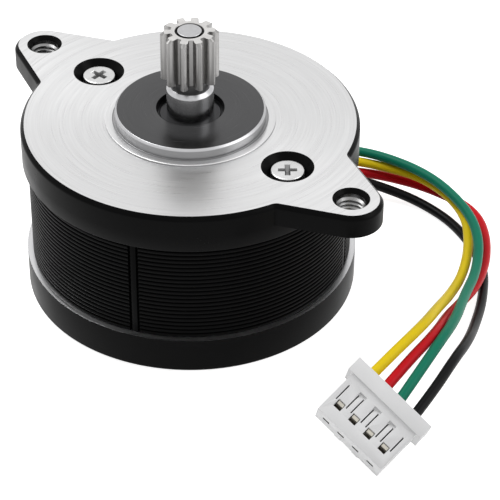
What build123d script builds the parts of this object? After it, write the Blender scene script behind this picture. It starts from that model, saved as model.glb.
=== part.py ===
from build123d import *
import math
import os

# Case, in millimetres; z = 0 is the rear face, and the shaft points up
body_length = 20.0
case_dia = 36.0
case_edge_chamfer = 0.4
front_cap_depth = 4.2
front_wall = 2.5
rear_cap_depth = 4.2
rear_wall = 2.5
rear_edge_chamfer = 0.3
rear_boss_wall = 0.8
rim_wall = 1.6

# Mounting ears
ear_spacing = 43.84
ear_tip_radius = 3.3
ear_flare_deg = 25.0
ear_root_fillet = 0.6
ear_hole_dia = 2.5
ear_countersink_dia = 3.84

# Pilot in the middle of the front cap
pilot_dia = 16.0
pilot_height = 1.35
pilot_edge_chamfer = 0.22
pilot_hole_dia = 7.1
pilot_lip = 0.6
pilot_step_dia = 18.1
pilot_step_height = 0.17
pilot_groove_width = 0.25
pilot_groove_depth = 0.12

# Case screws
screw_stack_gap = 0.5
screw_dia = 2.0
screw_hole_dia = 2.3
screw_head_dia = 3.54
screw_head_height = 1.2
screw_head_recess = 0.4
screw_seat_dia = 3.9
screw_countersink_dia = 5.52
screw_cross_width = 0.45
screw_cross_length = 2.0
screw_cross_depth = 0.6
screw_tip_height = 0.1
screw_head_chamfer = 0.15

# Stator
stack_inset = 0.6
yoke_width = 2.4
lamination_thickness = 0.5043
lamination_groove_depth = 0.12
lamination_groove_width = 0.16
seam_count = 4
seam_slot_width = 1.1
seam_slot_depth = 0.35
seam_rib_width = 0.62
seam_rib_recess = 0.04
pole_count = 8
pole_length = 3.6
pole_width = 3.2
pole_first_deg = 22.5
pole_face_half_deg = 16.2
pole_shoe_thickness = 0.63
small_tooth_depth = 0.5
small_teeth_per_pole = 5
small_tooth_half_deg = 1.75

# Windings and insulators
insulator_thickness = 0.4
insulator_rim_width = 0.6
insulator_wall_thickness = 0.45
insulator_cap_gap = 0.2
insulator_wall_half_deg = 14.2
coil_clearance = 0.1
coil_screw_gap = 0.57
coil_cap_gap = 0.1
coil_yoke_gap = 0.6

# Rotor
rotor_tooth_count = 50
rotor_air_gap = 0.07
rotor_tooth_depth = 0.45
rotor_tooth_fill = 0.45
rotor_end_gap = 0.1
magnet_thickness = 1.4
magnet_recess = 0.55
spacer_wall = 0.7

# Shaft
shaft_dia = 5.0
shaft_foot = 0.55
shaft_foot_chamfer = 0.3
shoulder_height = 4.15
shoulder_chamfer = 0.45
nose_dia = 3.0
nose_chamfer = 0.25
nose_proud = 0.05

# Pinion
pinion_module = 0.5
pinion_teeth = 10
pinion_shift = 0.1
pinion_addendum = 1.0
pinion_dedendum = 1.25
pinion_flank_steps = 5
pressure_angle_deg = 20.0
pinion_hub_dia = 4.1
pinion_hub_length = 1.0
pinion_tooth_length = 5.6
pinion_tip_chamfer = 0.4
pinion_tip_chamfer_height = 0.3
pinion_first_tooth_deg = 10.86

# Ball bearings, two alike
bearing_outer_dia = 10.0
bearing_width = 3.0
outer_race_wall = 0.8
inner_race_wall = 0.7
ball_dia = 1.4
ball_count = 9
ball_play = 0.02
cage_height = 2.2
cage_gap = 0.2
cage_pocket_clearance = 0.06
shield_thickness = 0.2
shield_gap = 0.08
race_edge_chamfer = 0.15
rear_bearing_foot = 0.85
washer_thickness = 0.25
washer_width = 1.2
washer_clearance = 0.15
rear_hole_dia = 6.0

# Wire outlet in the rear cap
wire_dia = 1.0
wire_exit_height = 3.1
outlet_width = 6.4
outlet_floor = 2.1
grommet_recess = 0.4
grommet_length = 1.9

# Connector, placed by the middle of the face where the wires enter
connector_entry = (34.66, -8.38, 6.48)
connector_heading_deg = -99.4
connector_tilt_deg = 25.0
connector_roll_deg = 30.0
contact_pitch = 2.0
contact_count = 4
housing_side_wall = 0.6
housing_thickness = 4.5
housing_length = 6.5
flange_overhang = 0.6
flange_length = 1.6
flange_step = 0.3
cavity_width = 1.4
cavity_height = 1.9
cavity_nose_wall = 0.7
mating_slot_width = 0.8
mating_slot_height = 0.5
mating_slot_bottom = 0.0
window_width = 0.9
window_length = 0.9
window_from_nose = 1.25
slit_width = 0.14
slit_length = 1.9
slit_from_nose = 1.9
slit_spread = 1.36
nose_rib_width = 0.9
nose_rib_height = 0.4
nose_rib_length = 1.2
nose_rib_spread = 2.4
crimp_entry = 1.4
crimp_length = 1.1
crimp_stop_gap = 0.05
crimp_wall = 0.15
crimp_fit = 0.02
contact_width = 1.2
contact_height = 1.5
contact_wall = 0.2
contact_nose_gap = 0.1
lance_rise = 0.5
lance_length = 0.7
lance_width = 0.6

# Wire routes, from the grommet to the crimp in the connector
wire_routes = {
    "wire_green": [
        (-1.95, 15.7, 3.1),
        (-1.95, 22.6, 3.1),
        (0.6, 26.6, 3.0),
        (5.8, 27.9, 3.3),
        (12.5, 27.5, 3.8),
        (18.7, 25.2, 4.0),
        (23.2, 22.0, 3.8),
        (26.5, 17.0, 3.4),
        (29.0, 10.8, 4.6),
        (31.7, 5.4, 6.1),
        (34.3, 0.4, 7.5),
        (36.23, -4.2, 7.97),
        (35.34, -9.56, 5.44),
    ],
    "wire_yellow": [
        (-0.65, 15.7, 3.1),
        (-0.65, 21.4, 3.1),
        (1.0, 24.8, 2.8),
        (5.1, 26.9, 2.6),
        (11.9, 27.1, 2.7),
        (18.6, 25.1, 2.8),
        (22.8, 21.0, 2.6),
        (25.4, 15.9, 2.7),
        (27.0, 10.6, 3.9),
        (28.9, 5.4, 6.4),
        (30.9, 0.6, 8.7),
        (32.67, -4.47, 9.78),
        (31.79, -9.83, 7.25),
    ],
    "wire_red": [
        (0.65, 15.7, 3.1),
        (0.65, 21.2, 3.1),
        (2.2, 24.0, 2.4),
        (5.6, 26.3, 1.7),
        (11.9, 27.2, 1.6),
        (18.9, 26.8, 1.7),
        (24.0, 22.9, 1.7),
        (26.9, 17.1, 1.8),
        (28.2, 11.8, 2.8),
        (29.8, 7.0, 4.7),
        (32.2, 1.4, 7.4),
        (34.45, -4.33, 8.88),
        (33.56, -9.7, 6.34),
    ],
    "wire_black": [
        (1.95, 15.7, 3.1),
        (1.95, 19.7, 3.1),
        (3.4, 23.0, 2.6),
        (6.6, 25.4, 1.6),
        (11.8, 26.0, 0.7),
        (18.1, 25.1, 0.55),
        (24.7, 21.6, 0.55),
        (28.6, 16.0, 1.0),
        (31.4, 10.0, 2.4),
        (33.5, 5.2, 4.3),
        (35.5, 0.9, 6.1),
        (38.01, -4.07, 7.06),
        (37.12, -9.43, 4.53),
    ],
}
wire_fillet_share = 0.45

# Sizes worked out from the ones above
case_r = case_dia / 2
rim_inner_r = case_r - rim_wall
stack_r = case_r - stack_inset
yoke_inner_radius = stack_r - yoke_width
pole_shoe_radius = yoke_inner_radius - pole_length
shoe_inner_r = pole_shoe_radius - pole_shoe_thickness
bore_r = shoe_inner_r - small_tooth_depth
rotor_r = bore_r - rotor_air_gap
magnet_r = rotor_r - rotor_tooth_depth - magnet_recess
stack_bottom = rear_cap_depth
stack_top = body_length - front_cap_depth
stack_length = stack_top - stack_bottom
stack_middle = (stack_top + stack_bottom) / 2
front_inner = body_length - front_wall
insulator_rim_radius = yoke_inner_radius + insulator_rim_width
insulator_wall_radius = pole_shoe_radius - insulator_wall_thickness
screw_radius_from_axis = yoke_inner_radius - screw_dia / 2 - screw_stack_gap
screw_from_pole = screw_radius_from_axis * math.sin(math.pi / pole_count)
coil_inner_half_width = pole_width / 2 + coil_clearance
coil_side = screw_from_pole - screw_dia / 2 - coil_screw_gap - coil_inner_half_width
coil_inner_reach = pole_shoe_radius + coil_clearance
coil_outer_reach = yoke_inner_radius - coil_yoke_gap
grommet_outer_y = case_r - grommet_recess
grommet_inner_y = grommet_outer_y - grommet_length
housing_width = (contact_count - 1) * contact_pitch + cavity_width + 2 * housing_side_wall
flange_width = housing_width + 2 * flange_overhang
pilot_top = body_length + pilot_height
screw_head_top = body_length - screw_head_recess
screw_seat = screw_head_top - screw_head_height
bearing_r = bearing_outer_dia / 2
shaft_r = shaft_dia / 2
inner_race_r = shaft_r + inner_race_wall
outer_race_bore_r = bearing_r - outer_race_wall
ball_pitch_r = (inner_race_r + outer_race_bore_r) / 2
front_bearing_top = pilot_top - pilot_lip
front_bearing_foot = front_bearing_top - bearing_width
rear_bearing_top = rear_bearing_foot + bearing_width
rotor_bottom = stack_bottom + rotor_end_gap
rotor_top = stack_top - rotor_end_gap
cup_length = (rotor_top - rotor_bottom - magnet_thickness) / 2
shoulder_top = body_length + shoulder_height
pinion_teeth_bottom = shoulder_top + pinion_hub_length
pinion_top = pinion_teeth_bottom + pinion_tooth_length
nose_r = nose_dia / 2


def polar(radius, angle_deg):
    """Point in the XY plane at a radius and an angle."""
    angle = math.radians(angle_deg)
    return (radius * math.cos(angle), radius * math.sin(angle))


def disc(radius, bottom, top):
    """Solid cylinder on the shaft's axis between two heights."""
    return Pos(0, 0, bottom) * extrude(Circle(radius), top - bottom)


def tube(outer_radius, inner_radius, bottom, top):
    """Ring on the shaft's axis between two heights."""
    return Pos(0, 0, bottom) * extrude(Circle(outer_radius) - Circle(inner_radius), top - bottom)


def turned(points):
    """Solid of revolution about the shaft's axis from (radius, height) points."""
    profile = make_face(Polyline([(r, 0, z) for r, z in points], close=True))
    return revolve(profile, Axis.Z)


def sector(inner_radius, outer_radius, middle_deg, half_deg):
    """Flat ring sector, symmetric about one angle."""
    first = middle_deg - half_deg
    last = middle_deg + half_deg
    return make_face(
        [
            ThreePointArc(
                polar(inner_radius, first), polar(inner_radius, middle_deg), polar(inner_radius, last)
            ),
            Line(polar(inner_radius, last), polar(outer_radius, last)),
            ThreePointArc(
                polar(outer_radius, last), polar(outer_radius, middle_deg), polar(outer_radius, first)
            ),
            Line(polar(outer_radius, first), polar(inner_radius, first)),
        ]
    )


def pole_angles():
    """Angles of the stator's poles, which its slots lie between."""
    return [pole_first_deg + 360 / pole_count * i for i in range(pole_count)]


def screw_places():
    """Middles of the two case screws, on the line of the ears."""
    return [(-screw_radius_from_axis, 0), (screw_radius_from_axis, 0)]


def ear_places():
    """Middles of the two ear holes."""
    return [(-ear_spacing / 2, 0), (ear_spacing / 2, 0)]


def ear_face():
    """Flat outline of the ear at +X, from its round tip into the case."""
    flare = math.radians(ear_flare_deg)
    tip_x = ear_spacing / 2
    shoulder_x = tip_x + ear_tip_radius * math.sin(flare)
    shoulder_y = ear_tip_radius * math.cos(flare)
    root_x = case_r / 2
    root_y = shoulder_y + (shoulder_x - root_x) * math.tan(flare)
    web = Polygon(
        (shoulder_x, shoulder_y),
        (root_x, root_y),
        (root_x, -root_y),
        (shoulder_x, -shoulder_y),
        align=None,
    )
    return web + Pos(tip_x, 0) * Circle(ear_tip_radius)


def front_outline():
    """Outline of the front cap's face: the case and both ears, with rounded roots."""
    outline = Circle(case_r) + ear_face() + Rot(0, 0, 180) * ear_face()
    roots = [v for v in outline.vertices() if abs(v.Y) > ear_tip_radius and abs(v.X) > case_r / 2]
    return fillet(roots, ear_root_fillet)


def chamfered_plate(outline, top, thickness, chamfer_size):
    """Plate with a chamfer around its top edge."""
    plate = Pos(0, 0, top - thickness) * extrude(outline, thickness)
    return chamfer(plate.faces().sort_by(Axis.Z)[-1].outer_wire().edges(), chamfer_size)


def make_front_cap():
    """Front cap: machined face, two threaded ears, pilot and bearing pocket."""
    cap = chamfered_plate(front_outline(), body_length, front_wall, case_edge_chamfer)
    cap += tube(case_r, rim_inner_r, stack_top, front_inner)
    cap += disc(pilot_step_dia / 2, body_length, body_length + pilot_step_height)
    pilot_r = pilot_dia / 2
    cap += turned(
        [
            (0, front_inner),
            (pilot_r, front_inner),
            (pilot_r, pilot_top - pilot_edge_chamfer),
            (pilot_r - pilot_edge_chamfer, pilot_top),
            (0, pilot_top),
        ]
    )
    groove_floor = body_length + pilot_step_height - pilot_groove_depth
    cap -= tube(pilot_r + pilot_groove_width, pilot_r, groove_floor, pilot_top)
    cap -= disc(bearing_r, stack_top, front_bearing_top)
    cap -= disc(pilot_hole_dia / 2, stack_top, pilot_top)
    for x, y in ear_places():
        cap -= Pos(x, y, front_inner) * extrude(Circle(ear_hole_dia / 2), front_wall)
        cap -= Pos(x, y) * cone_cut(ear_hole_dia / 2, ear_countersink_dia / 2, body_length)
    for x, y in screw_places():
        cap -= Pos(x, y, stack_top) * extrude(Circle(screw_hole_dia / 2), front_cap_depth)
        cap -= Pos(x, y, screw_seat) * extrude(Circle(screw_seat_dia / 2), body_length - screw_seat)
        cap -= Pos(x, y) * cone_cut(screw_seat_dia / 2, screw_countersink_dia / 2, body_length)
    return cap


def cone_cut(inner_radius, outer_radius, top):
    """Countersink at 45 degrees, from a wide mouth down to a hole's wall."""
    drop = outer_radius - inner_radius
    return turned(
        [(0, top - drop), (inner_radius, top - drop), (outer_radius, top), (0, top)]
    )


def make_rear_cap():
    """Rear cap: cup with a bearing pocket, two threaded holes and the wire outlet."""
    pocket_boss_r = bearing_r + rear_boss_wall
    cap = turned(
        [
            (0, 0),
            (case_r - rear_edge_chamfer, 0),
            (case_r, rear_edge_chamfer),
            (case_r, rear_cap_depth),
            (rim_inner_r, rear_cap_depth),
            (rim_inner_r, rear_wall),
            (pocket_boss_r, rear_wall),
            (pocket_boss_r, rear_bearing_top - washer_thickness),
            (0, rear_bearing_top - washer_thickness),
        ]
    )
    cap -= disc(bearing_r, rear_bearing_foot - washer_thickness, rear_bearing_top)
    cap -= disc(rear_hole_dia / 2, 0, rear_bearing_foot)
    for x, y in screw_places():
        cap -= Pos(x, y, 0) * extrude(Circle(screw_dia / 2), rear_wall)
    outlet_depth = case_r - grommet_inner_y
    outlet = Box(outlet_width, 2 * outlet_depth, rear_cap_depth - outlet_floor)
    cap -= Pos(0, case_r, (rear_cap_depth + outlet_floor) / 2) * outlet
    return cap


def seam_angles():
    """Angles of the upright seams on the outside of the stack."""
    return [pole_first_deg + 360 / seam_count * i for i in range(seam_count)]


def make_yoke_ring():
    """Outer ring of the stack, with a fine groove at each lamination joint."""
    groove_r = stack_r - lamination_groove_depth
    half = lamination_groove_width / 2
    lamination_count = round(stack_length / lamination_thickness)
    pitch = stack_length / lamination_count
    points = [(yoke_inner_radius, stack_bottom), (stack_r, stack_bottom)]
    for i in range(1, lamination_count):
        joint = stack_bottom + i * pitch
        points.append((stack_r, joint - half))
        points.append((groove_r, joint - half))
        points.append((groove_r, joint + half))
        points.append((stack_r, joint + half))
    points += [(stack_r, stack_top), (yoke_inner_radius, stack_top)]
    return turned(points)


def make_pole(angle):
    """One pole at full stack length: neck, shoe and small teeth."""
    tooth_pitch = 360 / rotor_tooth_count
    neck_inner = (shoe_inner_r + pole_shoe_radius) / 2
    neck_outer = (yoke_inner_radius + stack_r) / 2
    section = Pos((neck_inner + neck_outer) / 2, 0) * Rectangle(neck_outer - neck_inner, pole_width)
    section += sector(shoe_inner_r, pole_shoe_radius, 0, pole_face_half_deg)
    for i in range(small_teeth_per_pole):
        tooth_deg = (i - (small_teeth_per_pole - 1) / 2) * tooth_pitch
        section += sector(bore_r, neck_inner, tooth_deg, small_tooth_half_deg)
    return Rot(0, 0, angle) * Pos(0, 0, stack_bottom) * extrude(section, stack_length)


def make_stator_stack():
    """Stator stack: yoke ring with upright seams, and the eight poles inside it."""
    stack = make_yoke_ring()
    rib_r = stack_r - seam_rib_recess
    slot_floor = stack_r - seam_slot_depth
    slots = []
    ribs = []
    for angle in seam_angles():
        turn = Rot(0, 0, angle)
        slot = Box(2 * seam_slot_depth, seam_slot_width, 2 * stack_length)
        rib = Pos((rib_r + slot_floor) / 2, 0) * Rectangle(rib_r - slot_floor, seam_rib_width)
        slots.append(turn * Pos(stack_r, 0, stack_middle) * slot)
        ribs.append(turn * Pos(0, 0, stack_bottom) * extrude(rib, stack_length))
    stack -= slots
    return stack + ribs + [make_pole(angle) for angle in pole_angles()]


def make_insulator(face, direction, cap_face):
    """Insulator on one end of the stack: rim, arms over the poles and inner walls."""
    wall_height = abs(cap_face - face) - insulator_cap_gap
    rim = Circle(insulator_rim_radius) - Circle(yoke_inner_radius)
    walls = []
    arm_inner = insulator_wall_radius
    arm_outer = (yoke_inner_radius + insulator_rim_radius) / 2
    for angle in pole_angles():
        arm = Pos((arm_inner + arm_outer) / 2, 0) * Rectangle(arm_outer - arm_inner, pole_width)
        rim += Rot(0, 0, angle) * arm
        shoe = sector(insulator_wall_radius, pole_shoe_radius, angle, insulator_wall_half_deg)
        rim += shoe
        walls.append(shoe)
    body = extrude(rim, direction * insulator_thickness)
    for wall in walls:
        body += extrude(wall, direction * wall_height)
    return Pos(0, 0, face) * body


def make_coil(angle):
    """One coil: a rectangular loop wound around a pole and its insulators."""
    window_height = stack_length + 2 * insulator_thickness
    outer_half_width = coil_inner_half_width + coil_side
    coil_top = front_inner - coil_cap_gap
    coil_bottom = rear_wall + coil_cap_gap
    coil_middle = (coil_top + coil_bottom) / 2
    loop = Rectangle(2 * outer_half_width, coil_top - coil_bottom)
    loop = fillet(loop.vertices(), coil_side / 2)
    loop -= Pos(0, stack_middle - coil_middle) * Rectangle(2 * coil_inner_half_width, window_height)
    plane = Plane(
        origin=(coil_inner_reach, 0, coil_middle), x_dir=(0, 1, 0), z_dir=(1, 0, 0)
    )
    return Rot(0, 0, angle) * extrude(plane * loop, coil_outer_reach - coil_inner_reach)


def make_winding(first_pole):
    """The four coils of one phase, on every second pole."""
    return Compound([make_coil(angle) for angle in pole_angles()[first_pole::2]])


def make_case_screws():
    """Two case screws with cross recesses."""
    screws = []
    for x, y in screw_places():
        screw = Pos(0, 0, screw_seat) * extrude(Circle(screw_head_dia / 2), screw_head_height)
        screw = chamfer(screw.faces().sort_by(Axis.Z)[-1].edges(), screw_head_chamfer)
        shank = extrude(Circle(screw_dia / 2), screw_seat - screw_tip_height)
        screw += Pos(0, 0, screw_tip_height) * shank
        cross_middle = screw_head_top - screw_cross_depth / 2
        for turn in (0, 90):
            arm = Box(screw_cross_length, screw_cross_width, screw_cross_depth)
            screw -= Pos(0, 0, cross_middle) * Rot(0, 0, turn) * arm
        screws.append(Pos(x, y, 0) * screw)
    return Compound(screws)


def groove_ring(middle):
    """Ring of the balls' path, a little larger than the balls."""
    path_r = ball_dia / 2 + ball_play
    return Pos(0, 0, middle) * Torus(ball_pitch_r, path_r)


def make_outer_race(foot):
    """Outer race of a bearing whose lower face is at the height foot."""
    top = foot + bearing_width
    c = race_edge_chamfer
    race = turned(
        [
            (outer_race_bore_r, foot),
            (bearing_r - c, foot),
            (bearing_r, foot + c),
            (bearing_r, top - c),
            (bearing_r - c, top),
            (outer_race_bore_r, top),
        ]
    )
    return race - groove_ring(foot + bearing_width / 2)


def make_inner_race(foot):
    """Inner race of a bearing."""
    race = tube(inner_race_r, shaft_r, foot, foot + bearing_width)
    return race - groove_ring(foot + bearing_width / 2)


def ball_angles():
    """Angles of a bearing's balls."""
    return [360 / ball_count * i for i in range(ball_count)]


def make_balls(foot):
    """Balls of a bearing, as separate solids."""
    middle = foot + bearing_width / 2
    places = [polar(ball_pitch_r, angle) for angle in ball_angles()]
    return Compound([Pos(x, y, middle) * Sphere(ball_dia / 2) for x, y in places])


def make_cage(foot):
    """Cage ring with one round pocket for each ball."""
    middle = foot + bearing_width / 2
    bottom = middle - cage_height / 2
    top = middle + cage_height / 2
    ring = tube(outer_race_bore_r - cage_gap, inner_race_r + cage_gap, bottom, top)
    pocket_r = ball_dia / 2 + cage_pocket_clearance
    for angle in ball_angles():
        x, y = polar(ball_pitch_r, angle)
        pocket = Rot(0, 90, 0) * Cylinder(pocket_r, bearing_width)
        ring -= Pos(x, y, middle) * Rot(0, 0, angle) * pocket
    return ring


def make_shields(foot):
    """Two thin shields, held in the outer race and clear of the inner race."""
    top = foot + bearing_width
    lower = tube(outer_race_bore_r, inner_race_r + shield_gap, foot, foot + shield_thickness)
    upper = tube(outer_race_bore_r, inner_race_r + shield_gap, top - shield_thickness, top)
    return Compound([lower, upper])


def make_wave_washer():
    """Spring washer under the rear bearing's outer race, as pressed flat."""
    outer = bearing_r - washer_clearance
    return tube(outer, outer - washer_width, rear_bearing_foot - washer_thickness, rear_bearing_foot)


def make_rotor_shaft():
    """Shaft with a chamfered shoulder and a slimmer nose for the pinion."""
    return turned(
        [
            (0, shaft_foot),
            (shaft_r - shaft_foot_chamfer, shaft_foot),
            (shaft_r, shaft_foot + shaft_foot_chamfer),
            (shaft_r, shoulder_top - shoulder_chamfer),
            (shaft_r - shoulder_chamfer, shoulder_top),
            (nose_r, shoulder_top),
            (nose_r, pinion_top + nose_proud - nose_chamfer),
            (nose_r - nose_chamfer, pinion_top + nose_proud),
            (0, pinion_top + nose_proud),
        ]
    )


def make_rotor_cup(bottom, turn_deg):
    """Toothed rotor cup; the two cups are half a tooth pitch apart."""
    pitch = 360 / rotor_tooth_count
    half = pitch * rotor_tooth_fill / 2
    root_r = rotor_r - rotor_tooth_depth
    points = []
    for i in range(rotor_tooth_count):
        middle = turn_deg + i * pitch
        points.append(polar(root_r, middle - half))
        points.append(polar(rotor_r, middle - half))
        points.append(polar(rotor_r, middle + half))
        points.append(polar(root_r, middle + half))
    section = Polygon(*points, align=None) - Circle(shaft_r)
    return Pos(0, 0, bottom) * extrude(section, cup_length)


def involute(angle):
    """Involute function of a pressure angle in radians."""
    return math.tan(angle) - angle


def pinion_half_angle(radius):
    """Half the angle that one pinion tooth takes up at a radius, in degrees."""
    pressure = math.radians(pressure_angle_deg)
    pitch_r = pinion_module * pinion_teeth / 2
    base_r = pitch_r * math.cos(pressure)
    at_radius = math.acos(min(1.0, base_r / max(radius, base_r)))
    half_thickness = math.pi / 4 + pinion_shift * math.tan(pressure)
    half = half_thickness * pinion_module / pitch_r + involute(pressure) - involute(at_radius)
    return math.degrees(half)


def make_pinion():
    """Pinion: ten involute teeth with bevelled tips above a plain hub."""
    tip_r = pinion_module * (pinion_teeth / 2 + pinion_addendum + pinion_shift)
    root_r = pinion_module * (pinion_teeth / 2 - pinion_dedendum + pinion_shift)
    step = (tip_r - root_r) / pinion_flank_steps
    radii = [root_r + step * i for i in range(pinion_flank_steps + 1)]
    points = []
    for tooth in range(pinion_teeth):
        middle = pinion_first_tooth_deg + 360 / pinion_teeth * tooth
        rising = [polar(r, middle - pinion_half_angle(r)) for r in radii]
        falling = [polar(r, middle + pinion_half_angle(r)) for r in reversed(radii)]
        points += rising + falling
    teeth = Pos(0, 0, pinion_teeth_bottom) * extrude(
        Polygon(*points, align=None), pinion_tooth_length
    )
    bevel = turned(
        [
            (0, pinion_teeth_bottom),
            (tip_r, pinion_teeth_bottom),
            (tip_r, pinion_top - pinion_tip_chamfer_height),
            (tip_r - pinion_tip_chamfer, pinion_top),
            (0, pinion_top),
        ]
    )
    gear = teeth & bevel
    gear += disc(pinion_hub_dia / 2, shoulder_top, pinion_teeth_bottom)
    return gear - disc(nose_r, shoulder_top, pinion_top)


def make_spacer(bottom, top):
    """Plain tube on the shaft between a rotor cup and an inner race."""
    return tube(shaft_r + spacer_wall, shaft_r, bottom, top)


def wire_row():
    """Places of the four wires across the outlet."""
    return [route[0][0] for route in wire_routes.values()]


def make_wire_grommet():
    """Black block that closes the outlet, with one hole for each wire."""
    middle = (grommet_outer_y + grommet_inner_y) / 2
    height = rear_cap_depth - outlet_floor
    body = Pos(0, middle, outlet_floor + height / 2) * Box(outlet_width, grommet_length, height)
    for x in wire_row():
        hole = Rot(90, 0, 0) * Cylinder(wire_dia / 2, grommet_length)
        body -= Pos(x, middle, wire_exit_height) * hole
    return body


def corner_radii(points):
    """Radius of each rounded corner of a wire's route."""
    radii = []
    for before, corner, after in zip(points, points[1:], points[2:]):
        into = Vector(*corner) - Vector(*before)
        out = Vector(*after) - Vector(*corner)
        turn = math.radians(into.get_angle(out))
        radii.append(wire_fillet_share * min(into.length, out.length) / math.tan(turn / 2))
    return radii


def make_wire(name):
    """One insulated wire as a round tube along its route."""
    points = wire_routes[name]
    radii = corner_radii(points)
    path = FilletPolyline(*points, radius=radii)
    section = Plane(origin=path @ 0, z_dir=path % 0) * Circle(wire_dia / 2)
    wire = sweep(section, path=path)
    expected = math.pi * (wire_dia / 2) ** 2 * path.length
    print(name, "radii", [round(r, 1) for r in radii])
    print(name, "length", round(path.length, 2), "volume", round(wire.volume, 3), round(expected, 3))
    return wire


def connector_plane():
    """Frame of the connector: x across the row, y back towards the wires, z out of the top."""
    heading = math.radians(connector_heading_deg)
    tilt = math.radians(connector_tilt_deg)
    roll = math.radians(connector_roll_deg)
    level = Vector(math.cos(heading), math.sin(heading), 0)
    upward = Vector(0, 0, 1)
    along = level * math.cos(tilt) - upward * math.sin(tilt)
    upright = upward * math.cos(tilt) + level * math.sin(tilt)
    row = upright.cross(along)
    rolled_row = row * math.cos(roll) - upright * math.sin(roll)
    rolled_top = upright * math.cos(roll) + row * math.sin(roll)
    return Plane(origin=connector_entry, x_dir=rolled_row, z_dir=rolled_top)


def contact_offsets():
    """Places of the contacts across the row, from the middle."""
    return [(i - (contact_count - 1) / 2) * contact_pitch for i in range(contact_count)]


def block(x_size, y_from, y_to, z_from, z_to):
    """Box centred on x = 0, between two stations along the connector and two heights."""
    middle = ((y_from + y_to) / 2, (z_from + z_to) / 2)
    return Pos(0, middle[0], middle[1]) * Box(x_size, abs(y_to - y_from), abs(z_to - z_from))


def make_connector_housing():
    """White housing: body, flange at the wires, cavities, windows, slits and nose ribs."""
    half = housing_thickness / 2
    nose = -housing_length
    body = block(housing_width, nose, 0, -half, half)
    body += block(flange_width, -flange_length, 0, -half, half + flange_step)
    rib_foot = nose + nose_rib_length
    for x in (-nose_rib_spread / 2, nose_rib_spread / 2):
        body += Pos(x, 0, 0) * block(nose_rib_width, nose, rib_foot, -half - nose_rib_height, 0)
    cavity_end = nose + cavity_nose_wall
    cavity_top = cavity_height / 2
    mating_slot_top = mating_slot_bottom + mating_slot_height
    window_end = nose + window_from_nose
    window_start = window_end + window_length
    slit_end = nose + slit_from_nose
    for x in contact_offsets():
        cavity = block(cavity_width, cavity_end, 0, -cavity_top, cavity_top)
        mouth = block(mating_slot_width, nose, cavity_end, mating_slot_bottom, mating_slot_top)
        window = block(window_width, window_end, window_start, 0, half)
        body -= Pos(x, 0, 0) * (cavity + mouth + window)
        for side in (-slit_spread / 2, slit_spread / 2):
            slit = block(slit_width, slit_end, slit_end + slit_length, 0, half)
            body -= Pos(x + side, 0, 0) * slit
    return connector_plane() * body


def make_contact(x):
    """One crimp contact: barrel around the wire, box spring and lance in the window."""
    nose = cavity_nose_wall + contact_nose_gap - housing_length
    barrel_end = crimp_length - crimp_entry
    box_end = -crimp_entry - crimp_stop_gap
    bore_r = wire_dia / 2 + crimp_fit
    barrel = Circle(bore_r + crimp_wall) - Circle(bore_r)
    half = contact_height / 2
    inner_half = half - contact_wall
    contact = Pos(0, barrel_end, 0) * extrude(Plane.XZ * barrel, barrel_end - box_end)
    contact += block(contact_width, nose, box_end, -half, half)
    inner_width = contact_width - 2 * contact_wall
    contact -= block(inner_width, nose, box_end - contact_wall, -inner_half, inner_half)
    lance_foot = window_from_nose + contact_nose_gap - housing_length
    lance_top = half + lance_rise
    contact += block(lance_width, lance_foot, lance_foot + lance_length, inner_half, lance_top)
    return Pos(x, 0, 0) * contact


def make_crimp_contacts():
    """The four crimp contacts in their cavities."""
    return connector_plane() * Compound([make_contact(x) for x in contact_offsets()])


def make_sub_parts():
    """Every sub-part of the motor, by the name of its node."""
    parts = {
        "front_cap": make_front_cap(),
        "rear_cap": make_rear_cap(),
        "stator_stack": make_stator_stack(),
        "front_insulator": make_insulator(stack_top, 1, front_inner),
        "rear_insulator": make_insulator(stack_bottom, -1, rear_wall),
        "winding_phase_a": make_winding(0),
        "winding_phase_b": make_winding(1),
        "case_screws": make_case_screws(),
        "wave_washer": make_wave_washer(),
        "rotor_shaft": make_rotor_shaft(),
        "rotor_cup_rear": make_rotor_cup(rotor_bottom, 0),
        "rotor_magnet": tube(magnet_r, shaft_r, rotor_bottom + cup_length, rotor_top - cup_length),
        "rotor_cup_front": make_rotor_cup(rotor_top - cup_length, 180 / rotor_tooth_count),
        "rear_spacer": make_spacer(rear_bearing_top, rotor_bottom),
        "front_spacer": make_spacer(rotor_top, front_bearing_foot),
        "pinion": make_pinion(),
        "wire_grommet": make_wire_grommet(),
        "connector_housing": make_connector_housing(),
        "crimp_contacts": make_crimp_contacts(),
    }
    for end, foot in (("front", front_bearing_foot), ("rear", rear_bearing_foot)):
        parts[end + "_bearing_outer_race"] = make_outer_race(foot)
        parts[end + "_bearing_inner_race"] = make_inner_race(foot)
        parts[end + "_bearing_balls"] = make_balls(foot)
        parts[end + "_bearing_cage"] = make_cage(foot)
        parts[end + "_bearing_shields"] = make_shields(foot)
    for name in wire_routes:
        parts[name] = make_wire(name)
    return parts


os.makedirs("parts", exist_ok=True)
for node, shape in make_sub_parts().items():
    export_step(shape, "parts/" + node + ".step")
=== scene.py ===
import math

import bmesh
import bpy
from bpy.props import FloatProperty, FloatVectorProperty, IntProperty, PointerProperty
from mathutils import Matrix, Vector


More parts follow.
